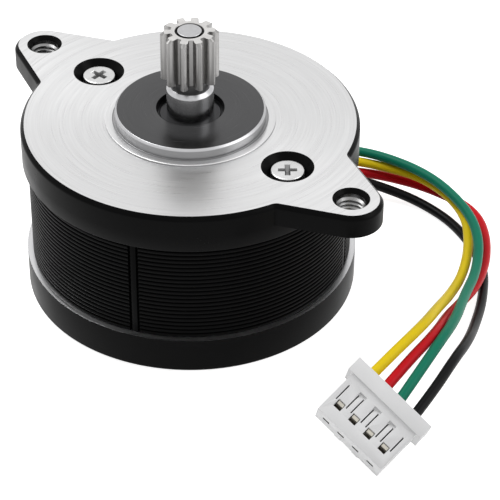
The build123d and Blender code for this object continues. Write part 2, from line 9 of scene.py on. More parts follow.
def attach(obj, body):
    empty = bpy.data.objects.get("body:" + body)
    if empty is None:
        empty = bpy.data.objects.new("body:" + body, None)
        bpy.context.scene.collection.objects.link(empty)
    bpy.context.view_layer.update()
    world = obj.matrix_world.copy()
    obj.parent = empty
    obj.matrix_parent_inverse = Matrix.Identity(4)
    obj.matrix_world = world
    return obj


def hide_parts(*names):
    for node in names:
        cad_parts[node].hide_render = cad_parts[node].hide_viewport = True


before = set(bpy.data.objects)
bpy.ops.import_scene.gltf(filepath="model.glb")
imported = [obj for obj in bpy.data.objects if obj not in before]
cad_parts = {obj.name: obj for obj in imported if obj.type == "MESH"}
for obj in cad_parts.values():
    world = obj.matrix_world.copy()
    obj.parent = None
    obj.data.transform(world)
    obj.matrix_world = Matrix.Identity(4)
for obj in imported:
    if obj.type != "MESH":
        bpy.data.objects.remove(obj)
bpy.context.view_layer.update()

bl_info = {
    "name": "Flat Stepper Motor",
    "version": (1, 0, 0),
    "blender": (4, 5, 0),
    "location": "View3D > Sidebar > Motor",
    "description": "Dresses a flat round stepper motor with its pinion and four-wire lead",
    "category": "Object",
}

# Lengths in the code below are in millimetres until a mesh is finished
MILLIMETRE = 0.001

# Case
case_r = 18.0
body_top = 20.0
front_cap_bottom = 15.8
plate_bottom = 17.5
rim_inner_r = 16.4
# Rounding of the rim's lower corner, as (inwards, upwards)
rim_rounding = [(0.01, 0.12), (0.05, 0.03), (0.14, 0.0)]
face_chamfer = 0.4
face_strip = 0.04
rear_cap_top = 4.2
rear_wall = 2.5
rear_edge_chamfer = 0.3
rear_hole_r = 3.0
rear_pocket_bottom = 0.6
rear_boss_r = 5.8
rear_boss_top = 3.6
rear_screw_mouth_r = 1.35
rear_screw_mouth_depth = 0.35
rear_screw_hole_r = 1.0

# Ears
ear_spacing = 43.84
ear_tip_radius = 3.3
ear_flare_deg = 25.0
ear_root_fillet = 0.6
ear_mouth_r = 1.92
thread_major_r = 1.5
thread_minor_r = 1.25
thread_pitch = 0.5
thread_bottom = 17.75
thread_top = 19.37
thread_steps = 48
ridge_run_in = 10
ridge_flank_r = 1.29
ridge_foot = 0.2
ridge_flank = 0.05
ridge_crest = 0.02

# Pilot
pilot_r = 8.0
pilot_top = 21.35
pilot_chamfer = 0.22
pilot_hole_r = 3.55
bearing_r = 5.0
bearing_top = 20.75
step_r = 9.05
step_top = 20.17
groove_r = 8.25
groove_floor = 20.1

# Case screws
screw_distance = 13.5
screw_mouth_r = 2.76
screw_pocket_r = 1.95
screw_seat = 18.4
screw_hole_r = 1.15
screw_head_r = 1.77
screw_head_top = 19.6
screw_shank_r = 0.98
screw_tip = 0.12
screw_tip_bevel = 0.25
cross_half_length = 1.0
cross_half_width = 0.27
cross_depth = 0.62
cross_floor_half_length = 0.42
cross_floor_half_width = 0.13

# Stator stack
stack_r = 17.4
stack_bottom = 4.2
stack_top = 15.8
lamination_count = 23
yoke_inner_r = 15.0
groove_depth = 0.12
ridge_round = 0.03
seam_count = 4
seam_first_deg = 22.5
seam_half_width = 0.55
seam_depth = 0.35
rib_half_width = 0.31
rib_r = 17.36
pole_count = 8
pole_half_width = 1.6
shoe_outer_r = 11.4
shoe_inner_r = 10.77
bore_r = 10.27
shoe_half_deg = 16.2
small_tooth_pitch_deg = 7.2
small_tooth_half_deg = 1.75

# Shaft and pinion
shaft_r = 2.5
shaft_foot = 0.55
shoulder_top = 24.15
shoulder_chamfer = 0.4
nose_r = 1.5
nose_top = 30.8
nose_end_r = 1.26
nose_groove_depth = 0.4
pinion_teeth = 10
pinion_first_deg = 10.86
pinion_hub_r = 2.05
pinion_hub_bottom = 24.15
pinion_bottom = 25.15
pinion_top = 30.75
pinion_tip_r = 3.05
pinion_root_r = 1.925
pinion_base_r = 2.3492
pinion_pitch_r = 2.5
pinion_tip_bevel = 0.4
pinion_bevel_height = 0.3
pinion_bore_mouth_r = 1.53

# Wire outlet
outlet_half_width = 3.2
outlet_floor = 2.1
grommet_inner_y = 15.7
grommet_outer_y = 17.6
wire_exit_z = 3.1
wire_r = 0.5
insulation_diameter = 1.1
collar_height = 0.28
collar_wall = 0.16

# Connector, in its own frame: x across the row, y back to the wires, z out of the top
connector_entry = (34.66, -8.38, 6.48)
connector_heading_deg = -99.4
connector_tilt_deg = 25.0
connector_roll_deg = 30.0
contact_count = 4
contact_pitch = 2.0
housing_half_width = 4.3
housing_half_height = 2.25
housing_length = 6.5
flange_half_width = 4.9
flange_length = 1.6
flange_step = 0.3
nose_rib_x = 1.2
nose_rib_half_width = 0.45
nose_rib_length = 1.2
nose_rib_height = 0.4
window_half_width = 0.45
window_from = 1.25
window_to = 2.15
slit_offset = 0.68
slit_half_width = 0.07
slit_from = 1.9
slit_to = 3.8
slot_half_width = 0.42
ramp_half_width = 0.45
ramp_shallow = 3.15
ramp_deep = 4.1
ramp_depth = 0.38
contact_half_width = 0.6
contact_half_height = 0.75
contact_wall = 0.15
lance_half_width = 0.36
# The lance's way up through the window, as (back from the nose, height)
lance_path = [(1.52, 0.7), (1.6, 1.25), (1.78, 1.68), (2.1, 1.8)]
barrel_length = 1.1

# Windings
coil_wire_pitch = 0.3

# Edges and round forms: the break of a machined edge, the reach within which points are merged,
# and the steps of rounded corners, arcs and the pinion's flanks
edge_break = 0.02
merge_distance = 0.0005
ease_steps = 4
ear_tip_steps = 13
ear_root_steps = 8
case_side_steps = 43
flank_steps = 8

# Stage
floor_half_width = 3000.0
floor_height = -0.02
motor_middle = (0.0, 0.0, 0.012)
dust_colour = (0.35, 0.34, 0.32, 1.0)


def scene_sizes():
    """The user's sizes and colours."""
    return bpy.context.scene.motor_settings


def keep(name, bm, materials):
    """Makes an object of a mesh that was built in millimetres, and smooths its round faces."""
    bmesh.ops.scale(bm, vec=(MILLIMETRE,) * 3, verts=bm.verts)
    mesh = bpy.data.meshes.new(name)
    bm.to_mesh(mesh)
    bm.free()
    piece = bpy.data.objects.new(name, mesh)
    bpy.context.scene.collection.objects.link(piece)
    for material in materials:
        mesh.materials.append(material)
    smooth(mesh)
    return piece


def take_back(piece):
    """Mesh of a finished piece in millimetres again; the piece itself is removed."""
    bm = bmesh.new()
    bm.from_mesh(piece.data)
    bmesh.ops.scale(bm, vec=(1 / MILLIMETRE,) * 3, verts=bm.verts)
    bpy.data.objects.remove(piece)
    return bm


def smooth(mesh, angle_deg=32.0):
    """Smooth shading, with sharp edges kept sharp."""
    mesh.polygons.foreach_set("use_smooth", [True] * len(mesh.polygons))
    mesh.set_sharp_from_angle(angle=math.radians(angle_deg))
    mesh.update()


def close_up(bm):
    """Merges doubles and turns the faces of closed shells outwards."""
    bmesh.ops.remove_doubles(bm, verts=bm.verts, dist=merge_distance)
    bmesh.ops.recalc_face_normals(bm, faces=bm.faces)
    return bm


def carry(piece, body, slot_name, *replaced):
    """Puts a finished piece on its body, in place of the CAD nodes that it stands for."""
    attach(piece, body)
    if replaced:
        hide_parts(*replaced)
    return piece


def eased(points, closed=False):
    """Profile whose corners are rounded; a point is (across, height) or (across, height, ease)."""
    rounded = []
    for i, point in enumerate(points):
        at_end = not closed and i in (0, len(points) - 1)
        if len(point) < 3 or at_end:
            rounded.append((point[0], point[1]))
            continue
        corner = Vector(point[:2])
        into = Vector(points[i - 1][:2]) - corner
        out_of = Vector(points[(i + 1) % len(points)][:2]) - corner
        reach = min(point[2], 0.45 * into.length, 0.45 * out_of.length)
        first = corner + into.normalized() * reach
        last = corner + out_of.normalized() * reach
        for k in range(ease_steps + 1):
            t = k / ease_steps
            place = first * (1 - t) ** 2 + corner * (2 * t * (1 - t)) + last * t ** 2
            rounded.append((place.x, place.y))
    return rounded


def ring(bm, radius, height, angles, centre=(0.0, 0.0)):
    """Loop of vertices around an upright axis, at given angles."""
    return [
        bm.verts.new((centre[0] + radius * math.cos(a), centre[1] + radius * math.sin(a), height))
        for a in angles
    ]


def even_angles(count, first=0.0):
    """Angles of a full turn in equal steps."""
    return [first + 2 * math.pi * i / count for i in range(count)]


def bridge(bm, lower, upper, material=0, closed=True):
    """Quads between two loops of the same length."""
    count = len(lower)
    for i in range(count if closed else count - 1):
        j = (i + 1) % count
        face = bm.faces.new((lower[i], lower[j], upper[j], upper[i]))
        face.material_index = material


def fill(bm, loops, material=0):
    """Flat face inside the first loop, with the other loops as its holes."""
    edges = []
    for loop in loops:
        for a, b in zip(loop, loop[1:] + loop[:1]):
            edges.append(bm.edges.get((a, b)) or bm.edges.new((a, b)))
    made = bmesh.ops.triangle_fill(bm, use_beauty=True, use_dissolve=False, edges=edges)
    for item in made["geom"]:
        if isinstance(item, bmesh.types.BMFace):
            item.material_index = material


def revolve(bm, profile, count=192, centre=(0.0, 0.0), material=0, closed=True):
    """Shell of revolution of a (radius, height) profile; points on the axis become poles."""
    angles = even_angles(count)
    loops = []
    for radius, height in profile:
        if radius < 1e-6:
            loops.append([bm.verts.new((centre[0], centre[1], height))])
        else:
            loops.append(ring(bm, radius, height, angles, centre))
    pairs = list(zip(loops, loops[1:]))
    if closed:
        pairs.append((loops[-1], loops[0]))
    for low, high in pairs:
        if len(low) == 1 and len(high) == 1:
            continue
        if len(low) == 1 or len(high) == 1:
            pole, loop = (low[0], high) if len(low) == 1 else (high[0], low)
            for i in range(count):
                face = bm.faces.new((loop[i], loop[(i + 1) % count], pole))
                face.material_index = material
        else:
            bridge(bm, low, high, material)
    return loops


def add_turned(bm, profile, count, place):
    """Adds a shell of revolution to a mesh and moves it to its place."""
    before = set(bm.verts)
    revolve(bm, profile, count)
    added = [vert for vert in bm.verts if vert not in before]
    bmesh.ops.transform(bm, matrix=place, verts=added)


def block(bm, x_from, x_to, y_from, y_to, z_from, z_to):
    """Box between two corners, and its vertices."""
    middle = ((x_from + x_to) / 2, (y_from + y_to) / 2, (z_from + z_to) / 2)
    size = (x_to - x_from, y_to - y_from, z_to - z_from)
    place = Matrix.Translation(middle) @ Matrix.Diagonal((*size, 1.0))
    return bmesh.ops.create_cube(bm, size=1.0, matrix=place)["verts"]


def as_modified(piece):
    """Replaces a piece's mesh by what its modifiers make of it, and removes them."""
    graph = bpy.context.evaluated_depsgraph_get()
    mesh = bpy.data.meshes.new_from_object(piece.evaluated_get(graph))
    piece.modifiers.clear()
    spare = piece.data
    piece.data = mesh
    mesh.name = piece.name
    bpy.data.meshes.remove(spare)
    return piece


def combine(piece, others, operation):
    """Joins closed meshes to a piece or cuts them out of it, and removes them."""
    for other in others:
        step = piece.modifiers.new("combine", "BOOLEAN")
        step.operation = operation
        step.solver = "EXACT"
        step.object = other
    as_modified(piece)
    for other in others:
        bpy.data.objects.remove(other)
    return piece


def soften(piece, width, segments=2, angle_deg=35.0):
    """Rounds the sharp edges of a piece by a small radius, in millimetres."""
    step = piece.modifiers.new("soften", "BEVEL")
    step.width = width * MILLIMETRE
    step.segments = segments
    step.limit_method = "ANGLE"
    step.angle_limit = math.radians(angle_deg)
    step.use_clamp_overlap = True
    step.miter_outer = "MITER_ARC"
    as_modified(piece)
    smooth(piece.data)
    return piece


def connector_matrix():
    """From the connector's own millimetres to the row frame's metres."""
    heading = math.radians(connector_heading_deg)
    tilt = math.radians(connector_tilt_deg)
    roll = math.radians(connector_roll_deg)
    level = Vector((math.cos(heading), math.sin(heading), 0.0))
    upward = Vector((0.0, 0.0, 1.0))
    along = level * math.cos(tilt) - upward * math.sin(tilt)
    upright = upward * math.cos(tilt) + level * math.sin(tilt)
    row = upright.cross(along)
    row_axis = row * math.cos(roll) - upright * math.sin(roll)
    top_axis = upright * math.cos(roll) + row * math.sin(roll)
    turn = Matrix((row_axis, -along, top_axis)).transposed().to_4x4()
    return Matrix.Translation(Vector(connector_entry) * MILLIMETRE) @ turn


def contact_offsets():
    """Places of the contacts across the row."""
    return [(i - (contact_count - 1) / 2) * contact_pitch for i in range(contact_count)]


# Copies of one mesh, by node trees that are built once


def add(tree, kind, links=None, **settings):
    """Node with its settings and with values or sockets on its inputs."""
    node = tree.nodes.new(kind)
    for key, value in settings.items():
        setattr(node, key, value)
    for key, value in (links or {}).items():
        if isinstance(value, bpy.types.NodeSocket):
            tree.links.new(value, node.inputs[key])
        else:
            node.inputs[key].default_value = value
    return node


def out(tree, kind, links=None, output=0, **settings):
    """One output of a new node."""
    return add(tree, kind, links, **settings).outputs[output]


def new_group(name, kind, inputs, outputs):
    """Node group with named inputs and outputs, and the sockets that stand for them inside."""
    tree = bpy.data.node_groups.new(name, kind)
    for label, sort, default in inputs:
        socket = tree.interface.new_socket(label, in_out="INPUT", socket_type="NodeSocket" + sort)
        if default is not None:
            socket.default_value = default
    for label, sort in outputs:
        tree.interface.new_socket(label, in_out="OUTPUT", socket_type="NodeSocket" + sort)
    return tree, tree.nodes.new("NodeGroupInput").outputs, tree.nodes.new("NodeGroupOutput").inputs


def row_tree():
    """Copies of a piece in a row, each turned by one more step than the last."""
    inputs = [
        ("Geometry", "Geometry", None),
        ("Piece", "Object", None),
        ("Count", "Int", 2),
        ("Start", "Vector", (0.0, 0.0, 0.0)),
        ("Step", "Vector", (0.0, 0.0, 0.001)),
        ("First Turn", "Float", 0.0),
        ("Turn Step", "Float", 0.0),
        ("Material", "Material", None),
    ]
    outputs = [("Geometry", "Geometry")]
    tree, given, result = new_group("Row of Copies", "GeometryNodeTree", inputs, outputs)
    line = {"Count": given["Count"], "Start Location": given["Start"], "Offset": given["Step"]}
    points = out(tree, "GeometryNodeMeshLine", line)
    angle = {0: out(tree, "GeometryNodeInputIndex"), 1: given["Turn Step"], 2: given["First Turn"]}
    turn = out(tree, "ShaderNodeMath", angle, operation="MULTIPLY_ADD")
    upright = out(tree, "ShaderNodeCombineXYZ", {"Z": turn})
    rotation = out(tree, "FunctionNodeEulerToRotation", {0: upright})
    piece = out(tree, "GeometryNodeObjectInfo", {"Object": given["Piece"]}, "Geometry")
    copies = {"Points": points, "Instance": piece, "Rotation": rotation}
    placed = out(tree, "GeometryNodeInstanceOnPoints", copies)
    real = out(tree, "GeometryNodeRealizeInstances", {"Geometry": placed})
    joined = out(tree, "GeometryNodeMergeByDistance", {"Geometry": real, "Distance": 1e-7})
    numbers = {2: out(tree, "GeometryNodeInputMaterialIndex"), 3: 0}
    first_slot = out(tree, "FunctionNodeCompare", numbers, data_type="INT", operation="EQUAL")
    paint = {"Geometry": joined, "Selection": first_slot, "Material": given["Material"]}
    tree.links.new(out(tree, "GeometryNodeSetMaterial", paint), result[0])
    return tree


def ring_of_copies(name, piece, count, first_turn, material):
    """Copies of a piece around the shaft's axis, in equal steps, as a plain mesh."""
    centre = (0.0, 0.0, 0.0)
    return row_of_copies(name, piece, count, centre, centre, material, first_turn, 2 * math.pi / count)


def row_of_copies(name, piece, count, start, step, material, first_turn=0.0, turn_step=0.0):
    """Copies of a piece in a row, as a plain mesh; the piece itself is removed."""
    tree = bpy.data.node_groups.get("Row of Copies") or row_tree()
    carrier = bpy.data.objects.new(name, bpy.data.meshes.new(name))
    bpy.context.scene.collection.objects.link(carrier)
    modifier = carrier.modifiers.new("copies", "NODES")
    modifier.node_group = tree
    values = {
        "Piece": piece,
        "Count": count,
        "Start": [c * MILLIMETRE for c in start],
        "Step": [c * MILLIMETRE for c in step],
        "First Turn": first_turn,
        "Turn Step": turn_step,
        "Material": material,
    }
    for socket in tree.interface.items_tree:
        if socket.name in values:
            modifier[socket.identifier] = values[socket.name]
    as_modified(carrier)
    bpy.data.objects.remove(piece)
    smooth(carrier.data)
    return carrier


# Surface effects that several finishes share, as node groups


def math_node(tree, operation, first, second=0.0):
    """Result of one arithmetic node."""
    return out(tree, "ShaderNodeMath", {0: first, 1: second}, operation=operation)


def products(tree, *pairs):
    """Vector of three products."""
    parts = {i: math_node(tree, "MULTIPLY", *pair) for i, pair in enumerate(pairs)}
    return out(tree, "ShaderNodeCombineXYZ", parts)


def levelled(tree, vector):
    """A vector without its height, and its length."""
    parts = add(tree, "ShaderNodeSeparateXYZ", {0: vector}).outputs
    flat = out(tree, "ShaderNodeCombineXYZ", {0: parts[0], 1: parts[1]})
    return flat, out(tree, "ShaderNodeVectorMath", {0: flat}, "Value", operation="LENGTH")


def noise(tree, vector, scale, detail, roughness):
    """Soft random values over a vector."""
    links = {"Vector": vector, "Scale": scale, "Detail": detail, "Roughness": roughness}
    return out(tree, "ShaderNodeTexNoise", links)


def stretched(tree, value, low=0.3, high=0.7):
    """The middle range of a value, stretched from zero to one."""
    return out(tree, "ShaderNodeMapRange", {"Value": value, "From Min": low, "From Max": high})


def shared_effect(name, numbers, labels, build):
    """Shader node group that is built once: a vector and named numbers in, named numbers out."""
    tree = bpy.data.node_groups.get(name)
    if tree:
        return tree
    inputs = [("Vector", "Vector", None)] + [(label, "Float", numbers[label]) for label in numbers]
    outputs = [(label, "Float") for label in labels]
    tree, given, result = new_group(name, "ShaderNodeTree", inputs, outputs)
    values = build(tree, *[given[i] for i in range(len(inputs))])
    for label, value in zip(labels, values):
        tree.links.new(value, result[label])
    return tree


def turned_marks():
    """Fine rings that a lathe leaves about the shaft's axis, broken up along their way."""

    def build(tree, vector, rings, breaks):
        flat, radius = levelled(tree, vector)
        around = out(tree, "ShaderNodeVectorMath", {0: flat}, operation="NORMALIZE")
        sides = add(tree, "ShaderNodeSeparateXYZ", {0: around}).outputs
        ringed = products(tree, (radius, rings), (sides[0], breaks), (sides[1], breaks))
        lines = noise(tree, ringed, 1.0, 3.0, 0.62)
        return lines, stretched(tree, lines)

    numbers = {"Rings per Metre": 5000.0, "Breaks": 1.5}
    return shared_effect("Turned Marks", numbers, ("Height", "Tone"), build)


def drawn_streaks():
    """Upright scratches and tool marks along the shaft's axis."""

    def build(tree, vector, streaks, length):
        parts = add(tree, "ShaderNodeSeparateXYZ", {0: vector}).outputs
        along = math_node(tree, "DIVIDE", streaks, length)
        drawn = products(tree, (parts[0], streaks), (parts[1], streaks), (parts[2], along))
        lines = noise(tree, drawn, 1.0, 3.0, 0.6)
        return lines, stretched(tree, lines)

    numbers = {"Streaks per Metre": 6000.0, "Length": 14.0}
    return shared_effect("Drawn Streaks", numbers, ("Height", "Tone"), build)


def fine_grain():
    """Small even grain, and soft large patches."""

    def build(tree, vector, grain, patch):
        small = noise(tree, vector, grain, 2.0, 0.55)
        return small, stretched(tree, noise(tree, vector, patch, 4.0, 0.6))

    numbers = {"Grain Scale": 9000.0, "Patch Scale": 220.0}
    return shared_effect("Fine Grain", numbers, ("Height", "Patches"), build)


def settled_dust():
    """Mask of fine dust specks on the faces that look up."""

    def build(tree, vector, amount):
        few = stretched(tree, noise(tree, vector, 5200.0, 3.0, 0.7), 0.6, 0.78)
        normal = out(tree, "ShaderNodeNewGeometry", output="Normal")
        facing = add(tree, "ShaderNodeSeparateXYZ", {0: normal}).outputs
        lying = math_node(tree, "MULTIPLY", few, math_node(tree, "MAXIMUM", facing[2], 0.0))
        return [math_node(tree, "MULTIPLY", lying, amount)]

    return shared_effect("Settled Dust", {"Amount": 0.2}, ("Mask",), build)


# Finishes


def blank(name, roughness, metallic=0.0, specular=0.5):
    """Material with a plain Principled shader, its tree, shader and object coordinates."""
    material = bpy.data.materials.new(name)
    material.use_nodes = True
    tree = material.node_tree
    shader = tree.nodes["Principled BSDF"]
    shader.inputs["Roughness"].default_value = roughness
    shader.inputs["Metallic"].default_value = metallic
    shader.inputs["Specular IOR Level"].default_value = specular
    return material, tree, shader, out(tree, "ShaderNodeTexCoord", output="Object")


def shade(colour, factor):
    """A colour made lighter or darker, with its alpha."""
    return (*[min(1.0, c * factor) for c in colour[:3]], 1.0)


def use_effect(tree, group, links):
    """Outputs of a shared effect, placed in a material."""
    return add(tree, "ShaderNodeGroup", links, node_tree=group).outputs


def vary(tree, shader, mask, colour, spread, roughness, rough_spread):
    """Lets a mask vary the base colour and the roughness about their middle values."""
    tones = {0: mask, 6: shade(colour, 1 - spread), 7: shade(colour, 1 + spread)}
    mixed = out(tree, "ShaderNodeMix", tones, 2, data_type="RGBA")
    tree.links.new(mixed, shader.inputs["Base Color"])
    ends = {"Value": mask, "To Min": roughness - rough_spread, "To Max": roughness + rough_spread}
    tree.links.new(out(tree, "ShaderNodeMapRange", ends), shader.inputs["Roughness"])
    return mixed


def raise_marks(tree, shader, height, depth):
    """Bump of a real depth in metres."""
    bump = {"Height": height, "Distance": depth, "Strength": 1.0}
    tree.links.new(out(tree, "ShaderNodeBump", bump), shader.inputs["Normal"])


def marked(
    name, group, scales, colour, roughness, spread, rough_spread, depth, metallic=1.0, specular=0.5
):
    """Material whose colour, roughness and bump follow the marks of a shared effect."""
    material, tree, shader, place = blank(name, roughness, metallic, specular)
    height, tone = use_effect(tree, group, {"Vector": place, **scales})
    mixed = vary(tree, shader, tone, colour, spread, roughness, rough_spread)
    raise_marks(tree, shader, height, depth)
    return material, tree, shader, place, mixed


def coated(name, colour, roughness, specular=0.4, grain=7000.0, depth=2e-6, dust=0.0, spread=0.18):
    """Satin paint, moulded plastic or rubber: fine grain, soft patches and a little dust."""
    scales = {"Grain Scale": grain}
    material, tree, shader, place, mixed = marked(
        name, fine_grain(), scales, colour, roughness, spread, 0.05, depth, 0.0, specular
    )
    if dust:
        mask = use_effect(tree, settled_dust(), {"Vector": place, "Amount": dust})[0]
        tones = {0: mask, 6: mixed, 7: dust_colour}
        dusty = out(tree, "ShaderNodeMix", tones, 2, data_type="RGBA")
        tree.links.new(dusty, shader.inputs["Base Color"])
    return material


def turned_metal(name, colour, roughness, rings=5000.0, depth=1.5e-6, spread=0.06, grooved=0.0):
    """Lathe-turned metal, brushed in rings about the shaft's axis."""
    scales = {"Rings per Metre": rings}
    made = marked(name, turned_marks(), scales, colour, roughness, spread, 0.04, depth)
    material, tree, shader = made[:3]
    if grooved:
        shader.inputs["Anisotropic"].default_value = grooved
        tangent = out(tree, "ShaderNodeTangent", direction_type="RADIAL", axis="Z")
        tree.links.new(tangent, shader.inputs["Tangent"])
    return material


def drawn_metal(name, colour, roughness):
    """Metal with upright streaks, as a hob or a die leaves them."""
    return marked(name, drawn_streaks(), {}, colour, roughness, 0.08, 0.05, 1.5e-6)[0]


def grained_metal(name, colour, roughness):
    """Plated, sintered or sawn metal without a direction."""
    scales = {"Patch Scale": 700.0}
    return marked(name, fine_grain(), scales, colour, roughness, 0.08, 0.05, 1e-6)[0]


def wound_copper(name):
    """Enamelled wire in tight turns, which lie across the coil."""
    material, tree, shader, place = blank(name, 0.32, metallic=0.85)
    radius = levelled(tree, place)[1]
    turn = 2 * math.pi / (coil_wire_pitch * MILLIMETRE)
    waves = math_node(tree, "SINE", math_node(tree, "MULTIPLY", radius, turn))
    height = out(tree, "ShaderNodeMapRange", {"Value": waves, "From Min": -1.0})
    vary(tree, shader, height, scene_sizes().copper_colour, 0.25, 0.32, 0.06)
    raise_marks(tree, shader, height, 3e-5)
    return material


# Case


def arc(centre, radius, first, last, steps, skipped=0):
    """Points along an arc in equal steps, without the first few."""
    angles = [first + (last - first) * i / steps for i in range(skipped, steps + 1)]
    return [centre + Vector((math.cos(a), math.sin(a))) * radius for a in angles]


def cap_quarter(inset):
    """Outline of a quarter of the front cap, from the ear's tip to the case's side."""
    flare = math.radians(ear_flare_deg)
    normal = Vector((math.sin(flare), math.cos(flare)))
    tip = Vector((ear_spacing / 2, 0.0))
    reach = normal.dot(tip) + ear_tip_radius + ear_root_fillet
    ring_r = case_r + ear_root_fillet
    along = Vector((math.cos(flare), -math.sin(flare)))
    root = normal * reach + along * math.sqrt(ring_r ** 2 - reach ** 2)
    root_r = ear_root_fillet + inset
    points = arc(tip, ear_tip_radius - inset, 0.0, math.pi / 2 - flare, ear_tip_steps)
    line_start, line_end = points[-1], root - normal * root_r
    points += [line_start.lerp(line_end, i / 4) for i in range(1, 4)]
    first = math.atan2(-normal.y, -normal.x)
    last = math.atan2(-root.y, -root.x)
    points += arc(root, root_r, first, last, ear_root_steps)
    side = math.atan2(root.y, root.x)
    points += arc(Vector((0.0, 0.0)), case_r - inset, side, math.pi / 2, case_side_steps, 1)
    return points


def cap_outline(inset):
    """Whole outline of the front cap's plate with its two ears, moved inwards by an inset."""
    quarter = cap_quarter(inset)
    left = [Vector((-p.x, p.y)) for p in reversed(quarter[:-1])]
    upper = quarter + left
    lower = [Vector((p.x, -p.y)) for p in reversed(upper[1:-1])]
    return upper + lower


def make_front_cap(coat, face, pilot, bright, side):
    """Front cap: coated plate with ears, bright face, pilot, and holes with countersinks."""
    bm = bmesh.new()
    angles = [math.atan2(p.y, p.x) for p in cap_outline(0.0)]

    def plate_loop(inset, height):
        return [bm.verts.new((p.x, p.y, height)) for p in cap_outline(inset)]

    def round_loop(radius, height):
        return ring(bm, radius, height, angles)

    def sunk_hole(mouth_r, hole_r, ease, rest, count, x):
        """Walls of a hole with a countersink, above the rest of its profile."""
        profile = [
            (mouth_r, body_top),
            (mouth_r - edge_break, body_top - edge_break, edge_break),
            (hole_r, body_top - (mouth_r - hole_r), ease),
        ]
        return revolve(bm, eased(profile + rest), count, (x, 0.0), closed=False)

    edge = [
        (face_chamfer + face_strip, body_top),
        (face_chamfer, body_top, 0.05),
        (0.0, body_top - face_chamfer, 0.16),
        (0.0, plate_bottom),
    ]
    loops = [plate_loop(inset, height) for inset, height in eased(edge)]
    for k, (upper, lower) in enumerate(zip(loops, loops[1:])):
        bridge(bm, lower, upper, 1 if k < 2 else 0)
    under = round_loop(case_r - rim_rounding[0][0], plate_bottom)
    rim = [under]
    rim += [round_loop(case_r - inset, front_cap_bottom + rise) for inset, rise in rim_rounding]
    rim += [round_loop(rim_inner_r, height) for height in (front_cap_bottom, plate_bottom)]
    for lower, upper in zip(rim, rim[1:]):
        bridge(bm, lower, upper)
    profile = eased(
        [
            (bearing_r, plate_bottom),
            (bearing_r, bearing_top),
            (pilot_hole_r, bearing_top),
            (pilot_hole_r, pilot_top, 0.08),
            (pilot_r - pilot_chamfer, pilot_top, 0.05),
            (pilot_r, pilot_top - pilot_chamfer, 0.05),
            (pilot_r, groove_floor, 0.03),
            (groove_r, groove_floor, 0.03),
            (groove_r, step_top, 0.04),
            (step_r, step_top, 0.08),
            (step_r, body_top),
        ]
    )
    pilot_loops = [round_loop(radius, height) for radius, height in profile]
    for lower, upper, (low, high) in zip(pilot_loops, pilot_loops[1:], zip(profile, profile[1:])):
        if max(high[0], low[0]) <= pilot_hole_r + 0.09:
            finish = 0
        elif min(low[1], high[1]) > pilot_top - 0.012:
            finish = 2
        elif low[1] > pilot_top - pilot_chamfer - 0.02:
            finish = 3
        elif low[0] >= groove_r + 0.03 and low[1] > step_top - 0.02:
            finish = 1
        else:
            finish = 4
        bridge(bm, lower, upper, finish)
    top_holes, under_holes, ceiling_holes = [pilot_loops[-1]], [], []
    thread_walls = [(thread_major_r, plate_bottom)]
    pocket = [(screw_pocket_r, screw_seat), (screw_hole_r, screw_seat), (screw_hole_r, plate_bottom)]
    for sign in (-1, 1):
        walls = sunk_hole(ear_mouth_r, thread_major_r, 0.05, thread_walls, 64, sign * ear_spacing / 2)
        top_holes.append(walls[0])
        under_holes.append(walls[-1])
        walls = sunk_hole(screw_mouth_r, screw_pocket_r, 0.06, pocket, 72, sign * screw_distance)
        top_holes.append(walls[0])
        ceiling_holes.append(walls[-1])
    fill(bm, [loops[0]] + top_holes, 1)
    fill(bm, [loops[-1], under] + under_holes)
    fill(bm, [rim[-1], pilot_loops[0]] + ceiling_holes)
    close_up(bm)
    sink_floor = body_top - (ear_mouth_r - thread_major_r)
    for drilled in bm.faces:
        middle = drilled.calc_center_median()
        off_hole = math.hypot(abs(middle.x) - ear_spacing / 2, middle.y)
        if off_hole < thread_major_r and middle.z < sink_floor:
            drilled.material_index = 2
    cap = keep("front_cap_dressed", bm, [coat, face, pilot, bright, side])
    return carry(cap, "motor_case", "black_coated_case", "front_cap")


def make_ear_threads(steel):
    """Cut threads inside both ear holes: a helical ridge from the drilled wall to the crest."""
    bm = bmesh.new()
    foot_r = thread_major_r + 0.01
    half = [(foot_r, ridge_foot), (ridge_flank_r, ridge_flank), (thread_minor_r, ridge_crest)]
    ridge = [(radius, -rise) for radius, rise in half] + half[::-1]
    last = int(thread_steps * (thread_top - thread_bottom) / thread_pitch)
    for sign in (-1, 1):
        rows = []
        for i in range(last + 1):
            growth = min(1.0, i / ridge_run_in, (last - i) / ridge_run_in)
            angle = 2 * math.pi * i / thread_steps
            height = thread_bottom + thread_pitch * i / thread_steps
            row = []
            for full_r, rise in ridge:
                radius = foot_r + (full_r - foot_r) * growth
                across = sign * ear_spacing / 2 + radius * math.cos(angle)
                row.append(bm.verts.new((across, radius * math.sin(angle), height + rise)))
            rows.append(row)
        for lower, upper in zip(rows, rows[1:]):
            for k in range(len(ridge) - 1):
                bm.faces.new((lower[k], upper[k], upper[k + 1], lower[k + 1]))
    threads = keep("ear_threads", bm, [steel])
    return carry(threads, "motor_case", "bright_steel")


